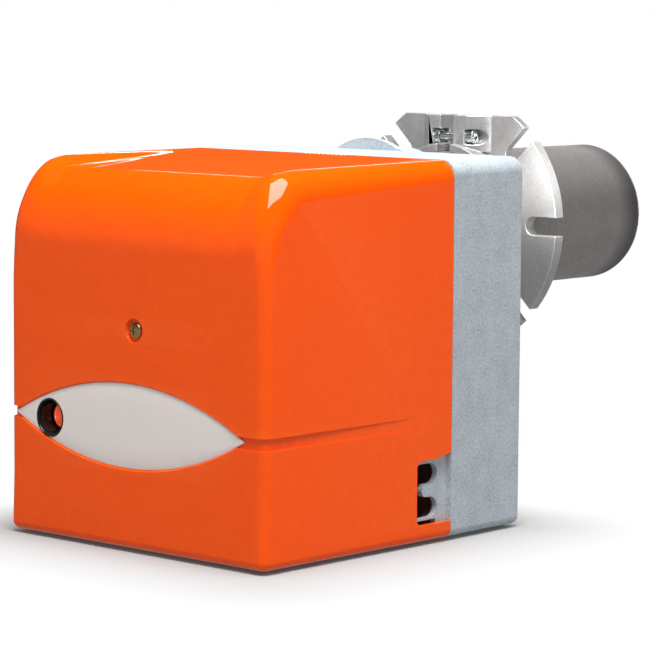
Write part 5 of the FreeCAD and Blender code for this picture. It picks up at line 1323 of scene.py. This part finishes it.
@dataclass
class FanSide:
    """Motor, fan, scroll and air box."""

    ribs_at: Point = (-64.0, -133.0, 84.0)
    rib_count: int = 40
    rib_circle: float = 40.8
    rib_size: Point = (3.6, 1.4, 44.0)
    knob_at: Point = (45.0, -205.0, 123.8)
    knurl_count: int = 36
    knurl_circle: float = 9.75
    knurl_size: Point = (0.7, 0.9, 6.4)
    still: Rows = (
        ("fan_scroll", "bare_aluminium", 0.5), ("scroll_cover", "bare_aluminium", 0.3),
        ("scroll_screws", "zinc_screws", 0.0), ("motor_housing", "bare_aluminium", 0.3),
        ("motor_end_cap", "bare_aluminium", 0.3), ("motor_stator", "stator_iron", 0.0),
        ("motor_windings", "copper", 0.0), ("motor_bearings", "bearing_steel", 0.2),
        ("motor_screws", "zinc_screws", 0.0), ("motor_capacitor", "pale_plastic", 0.6),
        ("capacitor_saddles", "black_plastic", 0.2), ("air_box", "black_plastic", 0.4))
    turning: Rows = (
        ("motor_rotor", "stator_iron", 0.0), ("motor_shaft", "bearing_steel", 0.3),
        ("fan_wheel", "fan_steel", 0.0), ("fan_set_screw", "zinc_screws", 0.0),
        ("pump_coupling", "pale_plastic", 0.3), ("pump_shaft", "bearing_steel", 0.2))
    damper: Rows = (("damper_flap", "plate_steel", 0.2), ("damper_knob", "black_plastic", 0.0))

    def build_ribs(self) -> None:
        """Cooling ribs round the motor's shell."""
        repeat = Repeat("motor_ribs")
        repeat.ring_of_bars()
        lay = Matrix.Translation(metres(self.ribs_at)) @ Matrix.Rotation(math.radians(90), 4, "Y")
        repeat.make("bare_aluminium", "burner", lay, Count=self.rib_count, Radius=self.rib_circle,
                    Size=self.rib_size)

    def build_knurls(self) -> None:
        """Ribs round the damper's knob."""
        repeat = Repeat("damper_knurls")
        repeat.ring_of_bars()
        repeat.make("black_plastic", "damper", Matrix.Translation(metres(self.knob_at)),
                    Count=self.knurl_count, Radius=self.knurl_circle, Size=self.knurl_size)

    def build(self) -> None:
        """Builds and dresses the fan side."""
        adopt_all("burner", self.still)
        adopt_all("rotor", self.turning)
        adopt_all("damper", self.damper)
        self.build_ribs()
        self.build_knurls()


@dataclass
class OilSide:
    """Pump with its valve, the pipe to the nozzle line and the fittings."""

    bend_start: Point = (0.058, -0.112, 0.165)
    bend_end: Point = (0.0115, -0.106, 0.199)
    still: Rows = (
        ("oil_pump", "pump_alloy", 0.6), ("pump_cover", "pump_alloy", 0.4),
        ("pump_screws", "zinc_screws", 0.2), ("hose_nipples", "brass", 0.2),
        ("valve_stem", "plate_steel", 0.2), ("valve_coil", "black_plastic", 0.5),
        ("pipe_union", "brass", 0.2))

    def build_pipe(self) -> None:
        """Copper pipe from the pump to the nozzle line, copied from the model's pipe."""
        pipe = ease_edges(copy_of("oil_pipe", "oil_pipe_bent", flatten=False), 0.0)
        dress(pipe, "copper")
        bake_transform(pipe)
        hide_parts("oil_pipe")
        LOG.info("oil_pipe_bent: from burner to head")

    def build(self) -> None:
        """Builds and dresses the oil side."""
        adopt_all("burner", self.still)
        self.build_pipe()


@dataclass
class Electrics:
    """Control box, ignition transformer, photocell and head cover."""

    still: Rows = (
        ("control_base", "black_plastic", 0.5), ("control_box", "control_plastic", 0.5),
        ("ignition_transformer", "transformer_shell", 0.6),
        ("terminal_socket", "black_plastic", 0.3), ("photocell", "black_plastic", 0.3),
        ("head_cover", "plate_steel", 0.4), ("lock_screw", "zinc_screws", 0.15))

    def build(self) -> None:
        """Builds and dresses the electrical pieces and the head cover."""
        adopt_all("burner", self.still)


@dataclass
class CombustionHead:
    """Nozzle line, nozzle, flame disc and electrodes inside the tube."""

    sliding: Rows = (
        ("nozzle_line", "bearing_steel", 0.2), ("line_elbow", "brass", 0.3),
        ("nozzle_holder", "brass", 0.3), ("oil_nozzle", "bearing_steel", 0.2),
        ("flame_disc", "plate_steel", 0.1), ("disc_carrier", "plate_steel", 0.2),
        ("head_spider", "plate_steel", 0.2), ("electrodes", "bearing_steel", 0.1),
        ("insulators", "ceramic", 0.3), ("electrode_clamp", "plate_steel", 0.2))

    def build(self) -> None:
        """Builds and dresses the head's pieces."""
        adopt_all("head", self.sliding)


# The studio


@dataclass(frozen=True)
class Lamp:
    """One soft lamp, which may light only the pieces whose names begin in one way."""

    name: str
    at: Point
    towards: Point
    size: Flat
    power: float
    only: str = ""
    spread: float = 180.0

    def build(self) -> None:
        """Hangs the lamp. It comes after the pieces, because it picks them by name."""
        data = bpy.data.lights.new(self.name, "AREA")
        data.shape, data.energy, data.spread = "RECTANGLE", self.power, math.radians(self.spread)
        data.size, data.size_y = self.size
        lamp = show(self.name, data)
        lamp.location = self.at
        lamp.rotation_mode = "QUATERNION"
        way = Vector(self.towards) - Vector(self.at)
        lamp.rotation_quaternion = way.to_track_quat("-Z", "Y")
        if self.only:
            lit = bpy.data.collections.new(self.name + "_lights")
            for made in bpy.data.objects:
                if made.name.startswith(self.only):
                    lit.objects.link(made)
            lamp.light_linking.receiver_collection = lit


@dataclass
class Studio:
    """Floor, lamps, white surroundings and the camera at the photograph's angle."""

    camera_at: Point = (1.3233, -1.5509, 0.3497)
    azimuth: float = 41.54
    elevation: float = 6.19
    roll: float = 0.40
    lens: float = 159.65
    sensor: float = 36.0
    clip: Flat = (0.05, 100.0)
    floor_reach: float = 6000.0
    floor_low: float = -2.2
    floor_grey: float = 0.33
    # Footprint box and glow fade of the painted shadow round the foot.
    foot_middle: Point = (0.0, -0.125, 0.0)
    foot_half: Point = (0.12, 0.126, 1.0)
    glow_least: float = 0.04
    glow_far: float = 0.085
    ambient: float = 0.53
    mirror_low: float = 0.45
    mirror_high: float = 0.02
    mirror_behind: float = 0.10
    mirror_depth: Flat = (0.15, -0.30)
    mirror_rise: Flat = (0.10, 0.60)
    lamps: tuple[Lamp, ...] = (
        Lamp("lamp_above", (0.38, -0.42, 1.40), (0.08, -0.20, 0.22), (0.80, 1.00), 44.0),
        Lamp("lamp_rim", (-1.89, 1.99, 1.18), (0.0, -0.15, 0.22), (0.80, 0.18), 5.0),
        Lamp("lamp_wing", (0.142, 0.006, 0.262), (0.114, 0.09, 0.250), (0.03, 0.03), 0.19,
             "boiler_flange", 70.0),
        Lamp("lamp_mouth", (-0.25, 1.30, 0.25), (0.04, 0.24, 0.20), (0.60, 0.80), 14.0,
             "blast_tube"),
        Lamp("lamp_lens", (0.02, -0.62, 0.14), (-0.078, -0.23, 0.0796), (0.10, 0.10), 0.8,
             "reset_lens"))

    def build_camera(self) -> None:
        """Camera of the photograph."""
        turn, rise, roll = map(math.radians, (self.azimuth, self.elevation, self.roll))
        back = Vector((math.sin(turn) * math.cos(rise), -math.cos(turn) * math.cos(rise),
                       math.sin(rise)))
        right = Vector((math.cos(turn), math.sin(turn), 0.0))
        up = back.cross(right)
        across = math.cos(roll) * right + math.sin(roll) * up
        above = -math.sin(roll) * right + math.cos(roll) * up
        data = bpy.data.cameras.new("camera")
        data.lens, data.sensor_width = self.lens, self.sensor
        data.clip_start, data.clip_end = self.clip
        camera = show("camera", data)
        axes = Matrix((across, above, back)).transposed().to_4x4()
        camera.matrix_world = Matrix.Translation(self.camera_at) @ axes
        bpy.context.scene.camera = camera

    def build_floor(self) -> None:
        """Pale floor that keeps the object's shadow, with painted shadow round the foot where its
        white glow fades, and runs into the white surroundings.
        """
        reach, low = self.floor_reach, self.floor_low
        corners = [(-reach, -reach, low), (reach, -reach, low), (reach, reach, low),
                   (-reach, reach, low)]
        floor = mesh_object("floor", corners, [(0, 1, 2, 3)])
        if floor.data.polygons[0].normal.z < 0:
            floor.data.flip_normals()
        material = bpy.data.materials.new("floor")
        tree = empty_tree(material)
        out = tree.put("ShaderNodeOutputMaterial").inputs
        place = tree.put("ShaderNodeTexCoord").outputs["Object"]
        # Painted shadow: the white glow fades towards the footprint box, leaving the matt grey
        # floor darker round the foot.
        folded = tree.vector("ABSOLUTE", tree.vector("SUBTRACT", place, self.foot_middle)[0])[0]
        outside = tree.vector("MAXIMUM", tree.vector("SUBTRACT", folded, self.foot_half)[0])[0]
        distance = tree.vector("LENGTH", outside)["Value"]
        far = tree.spread(distance, 0.0, self.glow_far, self.glow_least, 1.0)
        rays = tree.put("ShaderNodeLightPath").outputs
        seen = tree.maths("MAXIMUM", rays["Is Camera Ray"], rays["Is Transmission Ray"])
        matt = tree.put("ShaderNodeBsdfDiffuse", Color=(*[self.floor_grey] * 3, 1.0)).outputs[0]
        direct = tree.either(tree.maths("MULTIPLY", far, seen), matt, tree.white("Emission", 1.0))
        whole = tree.either(rays["Is Glossy Ray"], direct, tree.white("Emission", self.mirror_low))
        tree.link(whole, out[0])
        floor.data.materials.append(material)

    def build_world(self) -> None:
        """White surroundings for the camera and for reflections, and a plain soft light."""
        world = bpy.data.worlds.new("surroundings")
        bpy.context.scene.world = world
        tree = empty_tree(world)
        out = tree.put("ShaderNodeOutputWorld").inputs
        rays = tree.put("ShaderNodeLightPath").outputs
        through = tree.maths("MAXIMUM", rays["Is Camera Ray"], rays["Is Transmission Ray"])
        way = tree.put("ShaderNodeTexCoord").outputs["Generated"]
        way = tree.put("ShaderNodeSeparateXYZ", i0=way).outputs
        ahead = tree.spread(way[1], *self.mirror_depth, self.mirror_behind, 1.0)
        low = tree.spread(way[2], *self.mirror_rise, self.mirror_low, self.mirror_high)
        mirrored = tree.white("Background", tree.maths("MULTIPLY", ahead, low))
        lit = tree.either(rays["Is Glossy Ray"], tree.white("Background", self.ambient), mirrored)
        tree.link(tree.either(through, lit, tree.white("Background", 1.0)), out[0])

    def build(self) -> None:
        """Builds the studio."""
        self.build_camera()
        self.build_floor()
        self.build_world()
        for lamp in self.lamps:
            lamp.build()
        bpy.context.scene.view_settings.view_transform = "Standard"


def main() -> None:
    """Builds every sub-assembly in order, and the studio last, whose lamps pick pieces."""
    logging.basicConfig(level=logging.INFO, format="%(message)s")
    for part in (Hood(), Body(), TubeAndFlange(), FanSide(), OilSide(), Electrics(),
                 CombustionHead(), Studio()):
        LOG.info("building %s", type(part).__name__)
        part.build()


if __name__ == "__main__":
    main()
